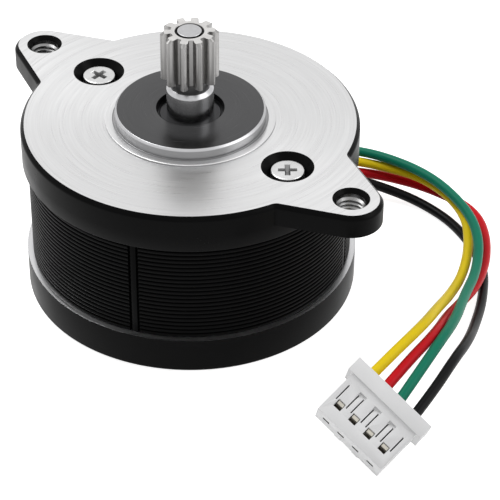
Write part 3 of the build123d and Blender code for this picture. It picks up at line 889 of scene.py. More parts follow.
def make_rear_cap(coat, ledge):
    """Rear cap: coated cup with a bright ledge, back hole, screw holes and the wire outlet."""
    bm = bmesh.new()
    profile = [
        (0.0, rear_boss_top),
        (0.0, rear_pocket_bottom),
        (rear_hole_r, rear_pocket_bottom),
        (rear_hole_r, 0.0, 0.15),
        (case_r - rear_edge_chamfer, 0.0, 0.12),
        (case_r, rear_edge_chamfer, 0.12),
        (case_r, rear_cap_top, 0.03),
        (rim_inner_r, rear_cap_top),
        (rim_inner_r, rear_wall),
        (rear_boss_r, rear_wall),
        (rear_boss_r, rear_boss_top),
    ]
    revolve(bm, eased(profile, closed=True), 256)
    close_up(bm)
    for face in bm.faces:
        middle = face.calc_center_median()
        if middle.z > rear_cap_top - 0.001 and math.hypot(middle.x, middle.y) > rim_inner_r:
            face.material_index = 1
    cap = keep("rear_cap_dressed", bm, [coat, ledge])
    bm = bmesh.new()
    half = outlet_half_width
    block(bm, -half, half, grommet_inner_y, case_r + 1, outlet_floor, body_top)
    tools = [keep("outlet_tool", bm, [coat])]
    above, below = rear_wall + 1, -1.0
    drill = [
        (0.0, below),
        (rear_screw_mouth_r, below),
        (rear_screw_hole_r, rear_screw_mouth_depth),
        (rear_screw_hole_r, above),
        (0.0, above),
    ]
    for sign in (-1, 1):
        bm = bmesh.new()
        revolve(bm, drill, 48, (sign * screw_distance, 0.0))
        close_up(bm)
        tools.append(keep("screw_hole_tool", bm, [coat]))
    combine(cap, tools, "DIFFERENCE")
    smooth(cap.data)
    return carry(cap, "motor_case", "black_coated_case", "rear_cap")


# Stator


def lamination_rim():
    """Outer outline of a lamination as (angle, radius), with a notch and a rib at each seam."""
    points = []
    notch = seam_half_width / stack_r
    rib = rib_half_width / stack_r
    floor = stack_r - seam_depth
    between = 2 * math.pi / seam_count
    steps = 40
    for k in range(seam_count):
        seam = math.radians(seam_first_deg) + k * between
        points += [(seam - notch, stack_r), (seam - notch, floor), (seam - rib, floor)]
        points += [(seam + rib, floor), (seam + notch, floor), (seam + notch, stack_r)]
        span = between - 2 * notch
        points += [(seam + notch + span * i / steps, stack_r) for i in range(1, steps)]
    return points


def lamination_bore():
    """Inner outline of a lamination as (angle, radius): yoke, pole sides, shoes and small teeth."""
    points = []
    half_shoe = math.radians(shoe_half_deg)
    half_tooth = math.radians(small_tooth_half_deg)
    neck_at_yoke = math.asin(pole_half_width / yoke_inner_r)
    neck_at_shoe = math.asin(pole_half_width / shoe_outer_r)
    half_pitch = math.pi / pole_count
    tips = []
    for k in range(-2, 3):
        middle = math.radians(small_tooth_pitch_deg) * k
        tips += [(middle - half_tooth, shoe_inner_r), (middle - half_tooth, bore_r)]
        tips += [(middle + half_tooth, bore_r), (middle + half_tooth, shoe_inner_r)]
    flank = [(-half_pitch * 0.8, yoke_inner_r), (-neck_at_yoke, yoke_inner_r)]
    flank += [(-neck_at_shoe, shoe_outer_r), (-half_shoe * 0.75, shoe_outer_r)]
    flank += [(-half_shoe, shoe_outer_r), (-half_shoe, shoe_inner_r)]
    mirrored = [(-a, r) for a, r in reversed(flank)]
    for k in range(pole_count):
        pole = math.radians(seam_first_deg) + 2 * math.pi * k / pole_count
        points += [(pole + a, r) for a, r in [(-half_pitch, yoke_inner_r)] + flank + tips + mirrored]
    return points


def make_stator_stack(coat, lamination_total):
    """Stack of stamped laminations with soft edges, and the ribs in its upright seams."""
    pitch = (stack_top - stack_bottom) / lamination_total
    bm = bmesh.new()
    lower_half = [(groove_depth, 0.0), (groove_depth, 0.14), (ridge_round, 0.2), (0.0, 0.3)]
    edge = lower_half + [(inset, 1 - share) for inset, share in reversed(lower_half)]

    def loop_of(points, inset, height):
        return [
            bm.verts.new(((r - inset) * math.cos(a), (r - inset) * math.sin(a), height))
            for a, r in points
        ]

    rim, bore = lamination_rim(), lamination_bore()
    outer = [loop_of(rim, inset, share * pitch) for inset, share in edge]
    for lower, upper in zip(outer, outer[1:]):
        bridge(bm, lower, upper)
    inner = [loop_of(bore, 0.0, 0.0), loop_of(bore, 0.0, pitch)]
    bridge(bm, inner[1], inner[0])
    fill(bm, [outer[0], inner[0]])
    fill(bm, [outer[-1], inner[-1]])
    bmesh.ops.recalc_face_normals(bm, faces=bm.faces)
    sheet = keep("lamination", bm, [coat])
    start, step = (0.0, 0.0, stack_bottom), (0.0, 0.0, pitch)
    stack = row_of_copies("stator_stack_dressed", sheet, lamination_total, start, step, coat)
    carry(stack, "motor_case", "black_laminations", "stator_stack")
    bm = bmesh.new()
    inside = rib_r - seam_depth - 0.1
    block(bm, inside, rib_r, -rib_half_width, rib_half_width, stack_bottom, stack_top)
    rib = keep("rib", bm, [coat])
    soften(rib, 0.07)
    ribs = ring_of_copies("stack_seam_ribs", rib, seam_count, math.radians(seam_first_deg), coat)
    carry(ribs, "motor_case", "black_laminations")
    return stack


# Screws


def cross_loop(bm, half_length, half_width, height):
    """Twelve corners of a cross."""
    a, b = half_width, half_length
    corners = [(b, -a), (b, a), (a, a), (a, b), (-a, b), (-a, a)]
    corners += [(-b, a), (-b, -a), (-a, -a), (-a, -b), (a, -b), (a, -a)]
    return [bm.verts.new((x, y, height)) for x, y in corners]


def make_case_screws(zinc, recess, first_turn, turn_step):
    """Two pan-head screws with cross recesses."""
    bm = bmesh.new()
    head = [
        (screw_shank_r, screw_seat),
        (screw_head_r, screw_seat, 0.05),
        (screw_head_r, screw_head_top, 0.18),
        (cross_half_length + 0.3, screw_head_top),
    ]
    walls = revolve(bm, eased(head), 64, closed=False)
    mouth = cross_loop(bm, cross_half_length, cross_half_width + 0.02, screw_head_top)
    lip = cross_loop(bm, cross_half_length - 0.03, cross_half_width, screw_head_top - 0.04)
    floor_z = screw_head_top - cross_depth
    floor = cross_loop(bm, cross_floor_half_length, cross_floor_half_width, floor_z)
    fill(bm, [walls[-1], mouth])
    bridge(bm, lip, mouth)
    # The cross's walls and floor take the second, darker zinc as painted shade in the recess
    bridge(bm, floor, lip, 1)
    fill(bm, [floor], 1)
    shank = [
        (screw_shank_r, screw_seat),
        (screw_shank_r, screw_tip + screw_tip_bevel, 0.05),
        (screw_shank_r - screw_tip_bevel, screw_tip, 0.05),
        (0.0, screw_tip),
    ]
    revolve(bm, eased(shank), 64, closed=False)
    close_up(bm)
    screw = keep("screw", bm, [zinc, recess])
    start, step = (-screw_distance, 0.0, 0.0), (2 * screw_distance, 0.0, 0.0)
    screws = row_of_copies(
        "case_screws_dressed", screw, 2, start, step, zinc, first_turn, turn_step
    )
    return carry(screws, "motor_case", "zinc_screw", "case_screws")


# Shaft and pinion


def make_shaft(steel, bright, shaded):
    """Ground shaft with a chamfered shoulder and a slim nose for the pinion."""
    bm = bmesh.new()
    groove_bottom = nose_top - nose_groove_depth
    profile = [
        (0.0, shaft_foot),
        (shaft_r - 0.3, shaft_foot, 0.05),
        (shaft_r, shaft_foot + 0.3, 0.05),
        (shaft_r, shoulder_top - shoulder_chamfer, 0.05),
        (shaft_r - shoulder_chamfer, shoulder_top, 0.05),
        (nose_r, shoulder_top),
        (nose_r, groove_bottom),
        (nose_end_r, groove_bottom),
        (nose_end_r, nose_top - 0.04),
        (nose_end_r - 0.04, nose_top, 0.02),
        (0.0, nose_top),
    ]
    revolve(bm, eased(profile), 160)
    close_up(bm)
    # The shoulder's chamfer and the nose's end face take the second, lighter steel as a painted
    # highlight
    half_chamfer = shoulder_chamfer / 2
    for face in bm.faces:
        height = face.calc_center_median().z
        at_shoulder = abs(height - shoulder_top + half_chamfer) < half_chamfer - 0.02
        if height > nose_top - 0.05 or at_shoulder:
            face.material_index = 1
        # The nose's slim end inside the pinion's bore takes the near-black steel as painted shade
        elif height > groove_bottom - 0.01:
            face.material_index = 2
    shaft = keep("rotor_shaft_dressed", bm, [steel, bright, shaded])
    return carry(shaft, "rotor", "bright_steel", "rotor_shaft")


def involute(angle):
    """Involute function of a pressure angle in radians."""
    return math.tan(angle) - angle


def tooth_half_angle(radius):
    """Half the angle that a pinion tooth takes up at a radius."""
    pressure = math.acos(pinion_base_r / pinion_pitch_r)
    at_radius = math.acos(min(1.0, pinion_base_r / max(radius, pinion_base_r)))
    root_half = (math.pi / 4 + 0.1 * math.tan(pressure)) * 0.5 / pinion_pitch_r
    return root_half + involute(pressure) - involute(at_radius)


def tooth_outline():
    """One tooth from valley to valley as (angle, radius), with round roots and soft tips."""
    half_pitch = math.pi / pinion_teeth
    flank = []
    for i in range(flank_steps + 1):
        reach = pinion_tip_r - 0.04 - pinion_root_r - 0.2
        radius = pinion_root_r + 0.2 + reach * i / flank_steps
        flank.append((-tooth_half_angle(radius), radius))
    root_angle = tooth_half_angle(pinion_root_r)
    root = [
        (-half_pitch, pinion_root_r),
        (-(half_pitch * 0.7 + root_angle * 0.3), pinion_root_r),
        (-(half_pitch * 0.25 + root_angle * 0.75), pinion_root_r + 0.025),
        (-(half_pitch * 0.06 + root_angle * 0.94), pinion_root_r + 0.09),
    ]
    tip_angle = tooth_half_angle(pinion_tip_r)
    tip = [(-tip_angle * 0.8, pinion_tip_r - 0.008), (-tip_angle * 0.4, pinion_tip_r)]
    left = root + flank + tip
    return left + [(0.0, pinion_tip_r)] + [(-a, r) for a, r in reversed(left)]


def make_pinion(steel, end_face, hub_shade):
    """Ten involute teeth with bevelled tips, on a plain hub."""
    bm = bmesh.new()
    outline = tooth_outline()

    def loop_of(height, trim):
        return [
            bm.verts.new((min(r, trim) * math.cos(a), min(r, trim) * math.sin(a), height))
            for a, r in outline
        ]

    def strip(radius, height):
        return ring(bm, radius, height, [a for a, r in outline])

    levels = [
        strip(nose_r, pinion_bottom),
        loop_of(pinion_bottom, pinion_tip_r - 0.06),
        loop_of(pinion_bottom + 0.06, pinion_tip_r),
        loop_of(pinion_top - pinion_bevel_height, pinion_tip_r),
        loop_of(pinion_top, pinion_tip_r - pinion_tip_bevel),
        strip(pinion_bore_mouth_r + edge_break, pinion_top),
        strip(pinion_bore_mouth_r, pinion_top - edge_break),
        strip(nose_r, pinion_top - 0.06),
        strip(nose_r, pinion_bottom),
    ]
    for k, (lower, upper) in enumerate(zip(levels, levels[1:])):
        bridge(bm, lower, upper, 1 if k == 4 else 0, closed=False)
    bmesh.ops.remove_doubles(bm, verts=bm.verts, dist=merge_distance)
    tooth = keep("tooth", bm, [steel, end_face])
    first_turn = math.radians(pinion_first_deg)
    teeth = ring_of_copies("pinion_dressed", tooth, pinion_teeth, first_turn, steel)
    carry(teeth, "rotor", "pinion_steel", "pinion")
    # The hub under the teeth takes a much darker steel than the teeth, as painted shade
    bm = bmesh.new()
    hub = [
        (nose_r, pinion_hub_bottom),
        (pinion_hub_r, pinion_hub_bottom, 0.06),
        (pinion_hub_r, pinion_bottom),
        (nose_r, pinion_bottom),
    ]
    revolve(bm, eased(hub, closed=True), 96)
    close_up(bm)
    carry(keep("pinion_hub", bm, [hub_shade]), "rotor", "pinion_steel")
    return teeth


# Wires, with their control points in metres, as the part's own routes have them

wire_routes = {
    "green": [
        (-0.00195, 0.0170, 0.0031),
        (-0.00195, 0.0226, 0.0031),
        (0.0010, 0.0251, 0.0035),
        (0.0060, 0.0264, 0.0041),
        (0.0125, 0.0268, 0.0042),
        (0.0187, 0.0248, 0.0042),
        (0.0231, 0.0219, 0.0039),
        (0.0265, 0.0170, 0.0034),
        (0.0291, 0.0110, 0.0047),
        (0.0319, 0.0056, 0.0063),
        (0.0337, 0.0004, 0.0075),
        (0.03491, -0.00567, 0.00670),
        (0.03534, -0.00956, 0.00544),
    ],
    "yellow": [
        (-0.00065, 0.0170, 0.0031),
        (-0.00065, 0.0214, 0.0031),
        (0.0013, 0.0238, 0.0029),
        (0.0054, 0.0260, 0.0028),
        (0.0117, 0.0275, 0.0030),
        (0.0186, 0.0254, 0.0029),
        (0.0227, 0.0208, 0.0028),
        (0.0254, 0.0159, 0.0027),
        (0.0273, 0.0109, 0.0039),
        (0.0294, 0.0058, 0.0064),
        (0.0315, 0.0007, 0.0086),
        (0.03209, -0.00561, 0.00860),
        (0.03179, -0.00983, 0.00725),
    ],
    "red": [
        (0.00065, 0.0170, 0.0031),
        (0.00065, 0.0212, 0.0031),
        (0.0026, 0.0234, 0.0020),
        (0.0057, 0.0262, 0.0014),
        (0.0118, 0.0278, 0.0016),
        (0.0190, 0.0274, 0.0019),
        (0.0238, 0.0229, 0.0018),
        (0.0269, 0.0171, 0.0019),
        (0.0282, 0.0118, 0.0028),
        (0.0298, 0.0070, 0.0047),
        (0.0324, 0.0014, 0.0073),
        (0.03326, -0.00475, 0.00750),
        (0.03356, -0.0097, 0.00634),
    ],
    "black": [
        (0.00195, 0.0170, 0.0031),
        (0.00195, 0.0197, 0.0031),
        (0.0038, 0.0219, 0.0026),
        (0.0072, 0.0242, 0.0016),
        (0.0120, 0.0259, 0.0007),
        (0.0181, 0.0251, 0.00056),
        (0.0245, 0.0213, 0.00056),
        (0.0283, 0.0159, 0.0009),
        (0.0314, 0.0100, 0.0024),
        (0.03387, 0.00511, 0.00460),
        (0.03536, 0.00101, 0.00600),
        (0.03664, -0.00462, 0.00550),
        (0.03712, -0.00943, 0.00453),
    ],
}


def make_wire(colour_name, diameter, material):
    """One insulated wire along its route, from the grommet to its crimp."""
    points = wire_routes[colour_name]
    curve = bpy.data.curves.new("wire_" + colour_name + "_lead", "CURVE")
    curve.dimensions = "3D"
    spline = curve.splines.new("NURBS")
    spline.points.add(len(points) - 1)
    for point, place in zip(spline.points, points):
        point.co = (*place, 1.0)
    spline.order_u = 3
    spline.use_endpoint_u = True
    spline.resolution_u = 12
    curve.bevel_depth = diameter / 2
    curve.bevel_resolution = 6
    curve.use_fill_caps = True
    curve.materials.append(material)
    wire = bpy.data.objects.new(curve.name, curve)
    bpy.context.scene.collection.objects.link(wire)
    return carry(wire, "motor_case", "insulation_" + colour_name, "wire_" + colour_name)


def make_grommet(rubber):
    """Black plug that closes the outlet, with a raised collar around each wire."""
    half = outlet_half_width
    bm = bmesh.new()
    block(bm, -half, half, grommet_inner_y, grommet_outer_y, outlet_floor, rear_cap_top)
    plug = keep("grommet_plug", bm, [rubber])
    soften(plug, 0.18, 3)
    bm = take_back(plug)
    inner_r = wire_r + 0.01
    collar = [
        (inner_r, -0.5),
        (inner_r, collar_height, 0.03),
        (wire_r + 0.13, collar_height, 0.06),
        (wire_r + collar_wall, 0.0),
        (wire_r + collar_wall, -0.5),
    ]
    turn = Matrix.Rotation(-math.pi / 2, 4, "X")
    for route in wire_routes.values():
        place = Matrix.Translation((route[0][0] / MILLIMETRE, grommet_outer_y, wire_exit_z))
        add_turned(bm, eased(collar, closed=True), 40, place @ turn)
    close_up(bm)
    grommet = keep("wire_grommet_dressed", bm, [rubber])
    return carry(grommet, "motor_case", "grommet_rubber", "wire_grommet")


def solid_of(name, boxes, material):
    """One closed shell of several boxes that overlap, in the connector's frame."""
    parts = []
    for box in boxes:
        bm = bmesh.new()
        block(bm, *box)
        parts.append(keep(name, bm, [material]))
    return combine(parts[0], parts[1:], "UNION")


def ramp_tool(x_from, x_to, nose, material):
    """Wedge that cuts a sloping pocket into the housing's top."""
    top = housing_half_height
    y_deep, y_shallow = nose + ramp_deep, nose + ramp_shallow
    corners = [(y_deep, top + 0.2), (y_deep, top - ramp_depth), (y_shallow, top), (y_shallow, top + 0.2)]
    bm = bmesh.new()
    rows = [[bm.verts.new((x, y, z)) for y, z in corners] for x in (x_from, x_to)]
    bridge(bm, rows[0], rows[1])
    bm.faces.new(rows[0])
    bm.faces.new(rows[1])
    bmesh.ops.recalc_face_normals(bm, faces=bm.faces)
    return keep("ramp_tool", bm, [material])


def make_connector_housing(nylon, shaded):
    """White crimp housing: flange, latch tongues between slits, windows, slots and nose ribs."""
    nose = -housing_length
    half_w, half_h = housing_half_width, housing_half_height
    above = half_h + 0.3
    boxes = [
        (-half_w, half_w, nose, 0.0, -half_h, half_h),
        (-flange_half_width, flange_half_width, -flange_length, 0.0, -half_h, half_h + flange_step),
    ]
    for x in (-nose_rib_x, nose_rib_x):
        from_x, to_x = x - nose_rib_half_width, x + nose_rib_half_width
        low, high = -half_h - nose_rib_height, -half_h + 0.2
        boxes.append((from_x, to_x, nose, nose + nose_rib_length, low, high))
    housing = solid_of("connector_housing_dressed", boxes, nylon)
    housing.data.materials.append(shaded)
    # The contact cavities and the slots in the nose are cut by tools in the second, near-black material,
    # which paints shade on their walls inside the white nylon
    openings, shaded_openings = [], []
    for x in contact_offsets():
        shaded_openings.append((x - 0.7, x + 0.7, nose + 0.4, 0.3, -0.95, 0.95))
        from_x, to_x = x - slot_half_width, x + slot_half_width
        shaded_openings.append((from_x, to_x, nose - 0.3, nose + 0.9, -0.1, 0.45))
        from_x, to_x = x - window_half_width, x + window_half_width
        openings.append((from_x, to_x, nose + window_from, nose + window_to, 0.3, above))
        for side_x in (x - slit_offset, x + slit_offset):
            from_x, to_x = side_x - slit_half_width, side_x + slit_half_width
            openings.append((from_x, to_x, nose + slit_from, nose + slit_to, 0.3, above))
    tools = []
    for box in openings + shaded_openings:
        bm = bmesh.new()
        block(bm, *box)
        for face in bm.faces:
            face.material_index = 1 if box in shaded_openings else 0
        tools.append(keep("tool", bm, [nylon, shaded]))
    for offset in contact_offsets()[:-1]:
        x = offset + contact_pitch / 2
        tools.append(ramp_tool(x - ramp_half_width, x + ramp_half_width, nose, nylon))
    combine(housing, tools, "DIFFERENCE")
    soften(housing, 0.07)
    housing.data.transform(connector_matrix())
    return carry(housing, "motor_case", "housing_nylon", "connector_housing")


def make_crimp_contacts(metal, spring):
    """Four crimp contacts: box spring, lance in the window and barrel around the wire."""
    nose = -housing_length
    outer, inner, height = contact_half_width, contact_half_width - contact_wall, contact_half_height
    length = (nose + 0.8, -1.45)
    shell = [
        (-outer, outer, *length, -height, -height + contact_wall),
        (-outer, outer, *length, height - contact_wall, height),
        (-outer, -inner, *length, -height, height),
        (inner, outer, *length, -height, height),
    ]
    bm = take_back(solid_of("contact", shell, metal))
    # All faces of the box spring take the second, darker bronze: painted shade inside the sockets
    for face in bm.faces:
        face.material_index = 1
    rows, under = [], []
    for y, z in lance_path:
        half = lance_half_width
        rows.append([bm.verts.new((x, nose + y, z)) for x in (-half, half)])
        under.append([bm.verts.new((x, nose + y + 0.05, z - 0.12)) for x in (-half, half)])
    for k in range(len(rows) - 1):
        upper, following = rows[k], rows[k + 1]
        lower, lower_next = under[k], under[k + 1]
        bm.faces.new((upper[0], upper[1], following[1], following[0]))
        bm.faces.new((lower[0], lower_next[0], lower_next[1], lower[1]))
        bm.faces.new((upper[0], following[0], lower_next[0], lower[0]))
        bm.faces.new((upper[1], lower[1], lower_next[1], following[1]))
    bm.faces.new((rows[0][0], under[0][0], under[0][1], rows[0][1]))
    bm.faces.new((rows[-1][0], rows[-1][1], under[-1][1], under[-1][0]))
    inner_r, outer_r = wire_r + 0.02, wire_r + 0.17
    barrel = [(inner_r, -0.05), (outer_r, -0.05), (outer_r, barrel_length), (inner_r, barrel_length)]
    place = Matrix.Translation((0.0, -0.35, 0.0)) @ Matrix.Rotation(math.pi / 2, 4, "X")
    add_turned(bm, barrel, 32, place)
    close_up(bm)
    contact = keep("contact", bm, [metal, spring])
    start, step = (contact_offsets()[0], 0.0, 0.0), (contact_pitch, 0.0, 0.0)
    contacts = row_of_copies("crimp_contacts_dressed", contact, contact_count, start, step, metal)
    contacts.data.transform(connector_matrix())
    return carry(contacts, "motor_case", "tinned_bronze", "crimp_contacts")


# Stage


def make_camera():
    """Camera at the photograph's place, fitted to the case's circles and the ear holes."""
    camera = bpy.data.cameras.new("view_camera")
    camera.sensor_width = 36.0
    camera.lens = 158.517
    camera.clip_start = 0.01
    camera.clip_end = 20.0
    holder = bpy.data.objects.new("view_camera", camera)
    bpy.context.scene.collection.objects.link(holder)
    right = Vector((0.752834, 0.658174, 0.006857))
    up = Vector((-0.403526, 0.453282, 0.794797))
    back = right.cross(up)
    turn = Matrix((right, up, back)).transposed().to_4x4()
    holder.matrix_world = Matrix.Translation((0.131568, -0.14227, 0.150301)) @ turn
    bpy.context.scene.camera = holder
    return holder


def make_lamp(name, place, size, power):
    """Soft square lamp that looks at the motor's middle."""
    light = bpy.data.lights.new(name, "AREA")
    light.shape = "SQUARE"
    light.size = size
    light.energy = power
    lamp = bpy.data.objects.new(name, light)
    bpy.context.scene.collection.objects.link(lamp)
    lamp.location = place
    lamp.rotation_mode = "QUATERNION"
    lamp.rotation_quaternion = (Vector(motor_middle) - Vector(place)).to_track_quat("-Z", "Y")
    return lamp


def seen_rays(tree):
    """One for rays by which the camera, metal or glass sees the surroundings, and zero for light."""
    path = add(tree, "ShaderNodeLightPath").outputs
    seen = math_node(tree, "MAXIMUM", path["Is Camera Ray"], path["Is Glossy Ray"])
    return math_node(tree, "MAXIMUM", seen, path["Is Transmission Ray"])


def make_floor(settings):
    """Pale floor that shows as the white background and keeps the motor's shadow."""
    bm = bmesh.new()
    corners = ((-1, -1), (1, -1), (1, 1), (-1, 1))
    places = [(x * floor_half_width, y * floor_half_width, floor_height) for x, y in corners]
    bm.faces.new([bm.verts.new(place) for place in places])
    material, tree, shader, place = blank("pale_floor", 0.6, specular=0.1)
    scales = {"Vector": place, "Grain Scale": 900.0, "Patch Scale": 6.0}
    patches = use_effect(tree, fine_grain(), scales)["Patches"]
    vary(tree, shader, patches, settings.floor_colour, 0.01, 0.6, 0.02)
    seen = math_node(tree, "MULTIPLY", seen_rays(tree), settings.floor_lift)
    shader.inputs["Emission Color"].default_value = (1.0, 1.0, 1.0, 1.0)
    tree.links.new(seen, shader.inputs["Emission Strength"])
    floor = keep("floor", bm, [material])
    return floor


def make_world(strength):
    """Even pale surroundings, which the camera and metal see as white."""
    world = bpy.data.worlds.new("pale_surroundings")
    world.use_nodes = True
    tree = world.node_tree
    shader = tree.nodes["Background"]
    levels = {"Value": seen_rays(tree), "To Min": strength, "To Max": 1.0}
    tree.links.new(out(tree, "ShaderNodeMapRange", levels), shader.inputs["Strength"])
    shader.inputs["Color"].default_value = (1.0, 1.0, 1.0, 1.0)
    bpy.context.scene.world = world
    return world


# Settings


def colour_setting(name, description, default):
    """Colour that a user may change."""
    return FloatVectorProperty(
        name=name,
        description=description,
        default=default,
        subtype="COLOR",
        size=3,
        min=0.0,
        max=1.0,
    )


def turn_setting(name, description, degrees):
    """Angle that a user may change."""
    return FloatProperty(
        name=name,
        description=description,
        default=math.radians(degrees),
        subtype="ANGLE",
        unit="ROTATION",
    )


def share_setting(name, description, default):
    """Share between zero and one that a user may change."""
    return FloatProperty(name=name, description=description, default=default, min=0.0, max=1.0)


class MotorSettings(bpy.types.PropertyGroup):
    """Sizes and colours of the motor and its stage."""

    coat_colour: colour_setting("Coat", "Black coating of the caps", (0.0018, 0.0018, 0.0019))
    stack_colour: colour_setting("Laminations", "Coated edges of the stack", (0.0013, 0.0013, 0.0014))
    face_colour: colour_setting("Face", "Turned front face", (0.7, 0.7, 0.703))
    pilot_colour: colour_setting("Pilot", "Flat top of the pilot", (0.086, 0.086, 0.088))
    shaft_colour: colour_setting("Shaft", "Ground steel of the shaft", (0.42, 0.42, 0.425))
    pinion_colour: colour_setting("Pinion", "Hobbed steel of the pinion", (0.3, 0.295, 0.29))
    housing_colour: colour_setting("Housing", "Moulded connector housing", (0.78, 0.78, 0.785))
    copper_colour: colour_setting("Copper", "Enamelled winding wire", (0.62, 0.25, 0.09))
    green_colour: colour_setting("Green Wire", "Insulation of the green wire", (0.008, 0.19, 0.115))
    yellow_colour: colour_setting("Yellow Wire", "Insulation of the yellow wire", (0.84, 0.62, 0.012))
    red_colour: colour_setting("Red Wire", "Insulation of the red wire", (0.58, 0.008, 0.015))
    black_colour: colour_setting("Black Wire", "Insulation of the black wire", (0.004, 0.004, 0.0045))
    floor_colour: colour_setting("Floor", "Pale floor", (0.8, 0.8, 0.8))
    wire_diameter: FloatProperty(
        name="Wire Diameter",
        description="Outer diameter of each insulated wire",
        default=insulation_diameter * MILLIMETRE,
        min=0.0006,
        max=0.0014,
        precision=5,
        subtype="DISTANCE",
        unit="LENGTH",
    )
    laminations: IntProperty(
        name="Laminations",
        description="How many ridges the stack shows",
        default=lamination_count,
        min=8,
        max=40,
    )
    first_screw_turn: turn_setting("First Screw Turn", "Turn of the cross in the left screw", 2.0)
    screw_turn_step: turn_setting(
        "Screw Turn Step", "How much further the right screw's cross is turned", 40.0
    )
    floor_lift: share_setting(
        "Floor Lift", "How far the floor is brightened towards the white background", 0.85
    )
    surroundings: share_setting("Surroundings", "Strength of the pale surroundings", 0.45)
    lamp_power: FloatProperty(
        name="Lamp Power", description="Power of the main lamp", default=1.3, min=0.0, unit="POWER"
    )


# Operators


class MOTOR_OT_case(bpy.types.Operator):
    """Makes the two caps, with their ears, threads, pilot and screw pockets"""

    bl_idname = "motor.case"
    bl_label = "Case"

    def execute(self, context):
        sizes = scene_sizes()
        coat = coated("black_coat", sizes.coat_colour, 0.32, specular=0.045, dust=0.02)
        face = turned_metal(
            "turned_face", sizes.face_colour, 0.3, depth=1.1e-6, spread=0.05, grooved=0.5
        )
        pilot = turned_metal("pilot_top", sizes.pilot_colour, 0.24, rings=9000.0, depth=4e-7)
        bright = turned_metal("pilot_chamfer", (0.48, 0.48, 0.49), 0.34, depth=3e-7)
        side = turned_metal("pilot_side", (0.34, 0.34, 0.345), 0.4, rings=9000.0, depth=6e-7)
        thread = turned_metal("ear_thread", (0.27, 0.27, 0.27), 0.3, depth=3e-7)
        ledge = turned_metal("cap_ledge", (0.66, 0.66, 0.67), 0.3, depth=3e-7)
        cap = make_front_cap(coat, face, pilot, bright, side)
        # The turned marks' tangent goes round the middle of the texture space
        cap.data.use_auto_texspace = False
        cap.data.texspace_location = (0.0, 0.0, 0.0)
        cap.data.texspace_size = (0.03, 0.03, 0.03)
        make_ear_threads(thread)
        make_rear_cap(coat, ledge)
        return {"FINISHED"}


class MOTOR_OT_stack(bpy.types.Operator):
    """Makes the stack of laminations and the ribs in its seams"""

    bl_idname = "motor.stack"
    bl_label = "Stator Stack"

    def execute(self, context):
        sizes = scene_sizes()
        coat = coated("lamination_coat", sizes.stack_colour, 0.36, specular=0.035, dust=0.01)
        make_stator_stack(coat, sizes.laminations)
        return {"FINISHED"}


class MOTOR_OT_screws(bpy.types.Operator):
    """Makes the two case screws with their cross recesses"""

    bl_idname = "motor.screws"
    bl_label = "Case Screws"

    def execute(self, context):
        sizes = scene_sizes()
        zinc = grained_metal("bright_zinc", (0.68, 0.68, 0.68), 0.3)
        # Darker zinc as painted shade in the cross recesses
        recess = grained_metal("screw_recess", (0.28, 0.28, 0.28), 0.4)
        make_case_screws(zinc, recess, sizes.first_screw_turn, sizes.screw_turn_step)
        return {"FINISHED"}


class MOTOR_OT_shaft(bpy.types.Operator):
    """Makes the shaft and the pinion on its nose"""

    bl_idname = "motor.shaft"
    bl_label = "Shaft and Pinion"

    def execute(self, context):
        sizes = scene_sizes()
        ground = turned_metal("ground_shaft", sizes.shaft_colour, 0.26, rings=7000.0, depth=5e-7)
        # Lighter steel as a painted highlight on the shoulder's chamfer and the nose's end
        chamfer_highlight = turned_metal("shaft_chamfer", (0.5, 0.5, 0.51), 0.34, rings=7000.0, depth=5e-7)
        hobbed = drawn_metal("hobbed_pinion", sizes.pinion_colour, 0.32)
        end_face = grained_metal("pinion_end", (0.62, 0.61, 0.6), 0.34)
        # Much darker steel than the teeth as painted shade on the hub under them
        hub = turned_metal("pinion_hub", (0.12, 0.12, 0.12), 0.3)
        # Near-black steel as painted shade in the groove between the nose and the pinion's bore
        shaded = turned_metal("nose_groove", (0.03, 0.03, 0.03), 0.4)
        make_shaft(ground, chamfer_highlight, shaded)
        make_pinion(hobbed, end_face, hub)
        return {"FINISHED"}


class MOTOR_OT_lead(bpy.types.Operator):
    """Makes the grommet, the four wires and the connector with its contacts"""

    bl_idname = "motor.lead"
    bl_label = "Lead and Connector"

    def execute(self, context):
        sizes = scene_sizes()
        rubber = coated("grommet_rubber", (0.012, 0.012, 0.012), 0.55, specular=0.3)
        nylon = coated(
            "housing_nylon", sizes.housing_colour, 0.42, specular=0.45, grain=4000.0, spread=0.03
        )
        # Near-black nylon as painted shade on the walls of the cavities and slots
        shaded = coated("housing_inside", (0.05, 0.05, 0.05), 0.6, specular=0.1)
        metal = grained_metal("tinned_bronze", (0.62, 0.59, 0.52), 0.36)
        # Darker bronze as painted shade on the box springs inside the sockets
        spring = grained_metal("shaded_bronze", (0.14, 0.12, 0.1), 0.4)
        make_grommet(rubber)
        housing = make_connector_housing(nylon, shaded)
        contacts = make_crimp_contacts(metal, spring)
        colours = {
            "green": sizes.green_colour,
            "yellow": sizes.yellow_colour,
            "red": sizes.red_colour,
            "black": sizes.black_colour,
        }
        for name, colour in colours.items():
            sheath = coated(
                name + "_insulation", colour, 0.4, specular=0.1, grain=3500.0, depth=5e-7, spread=0.05
            )
            wire = make_wire(name, sizes.wire_diameter, sheath)
        return {"FINISHED"}


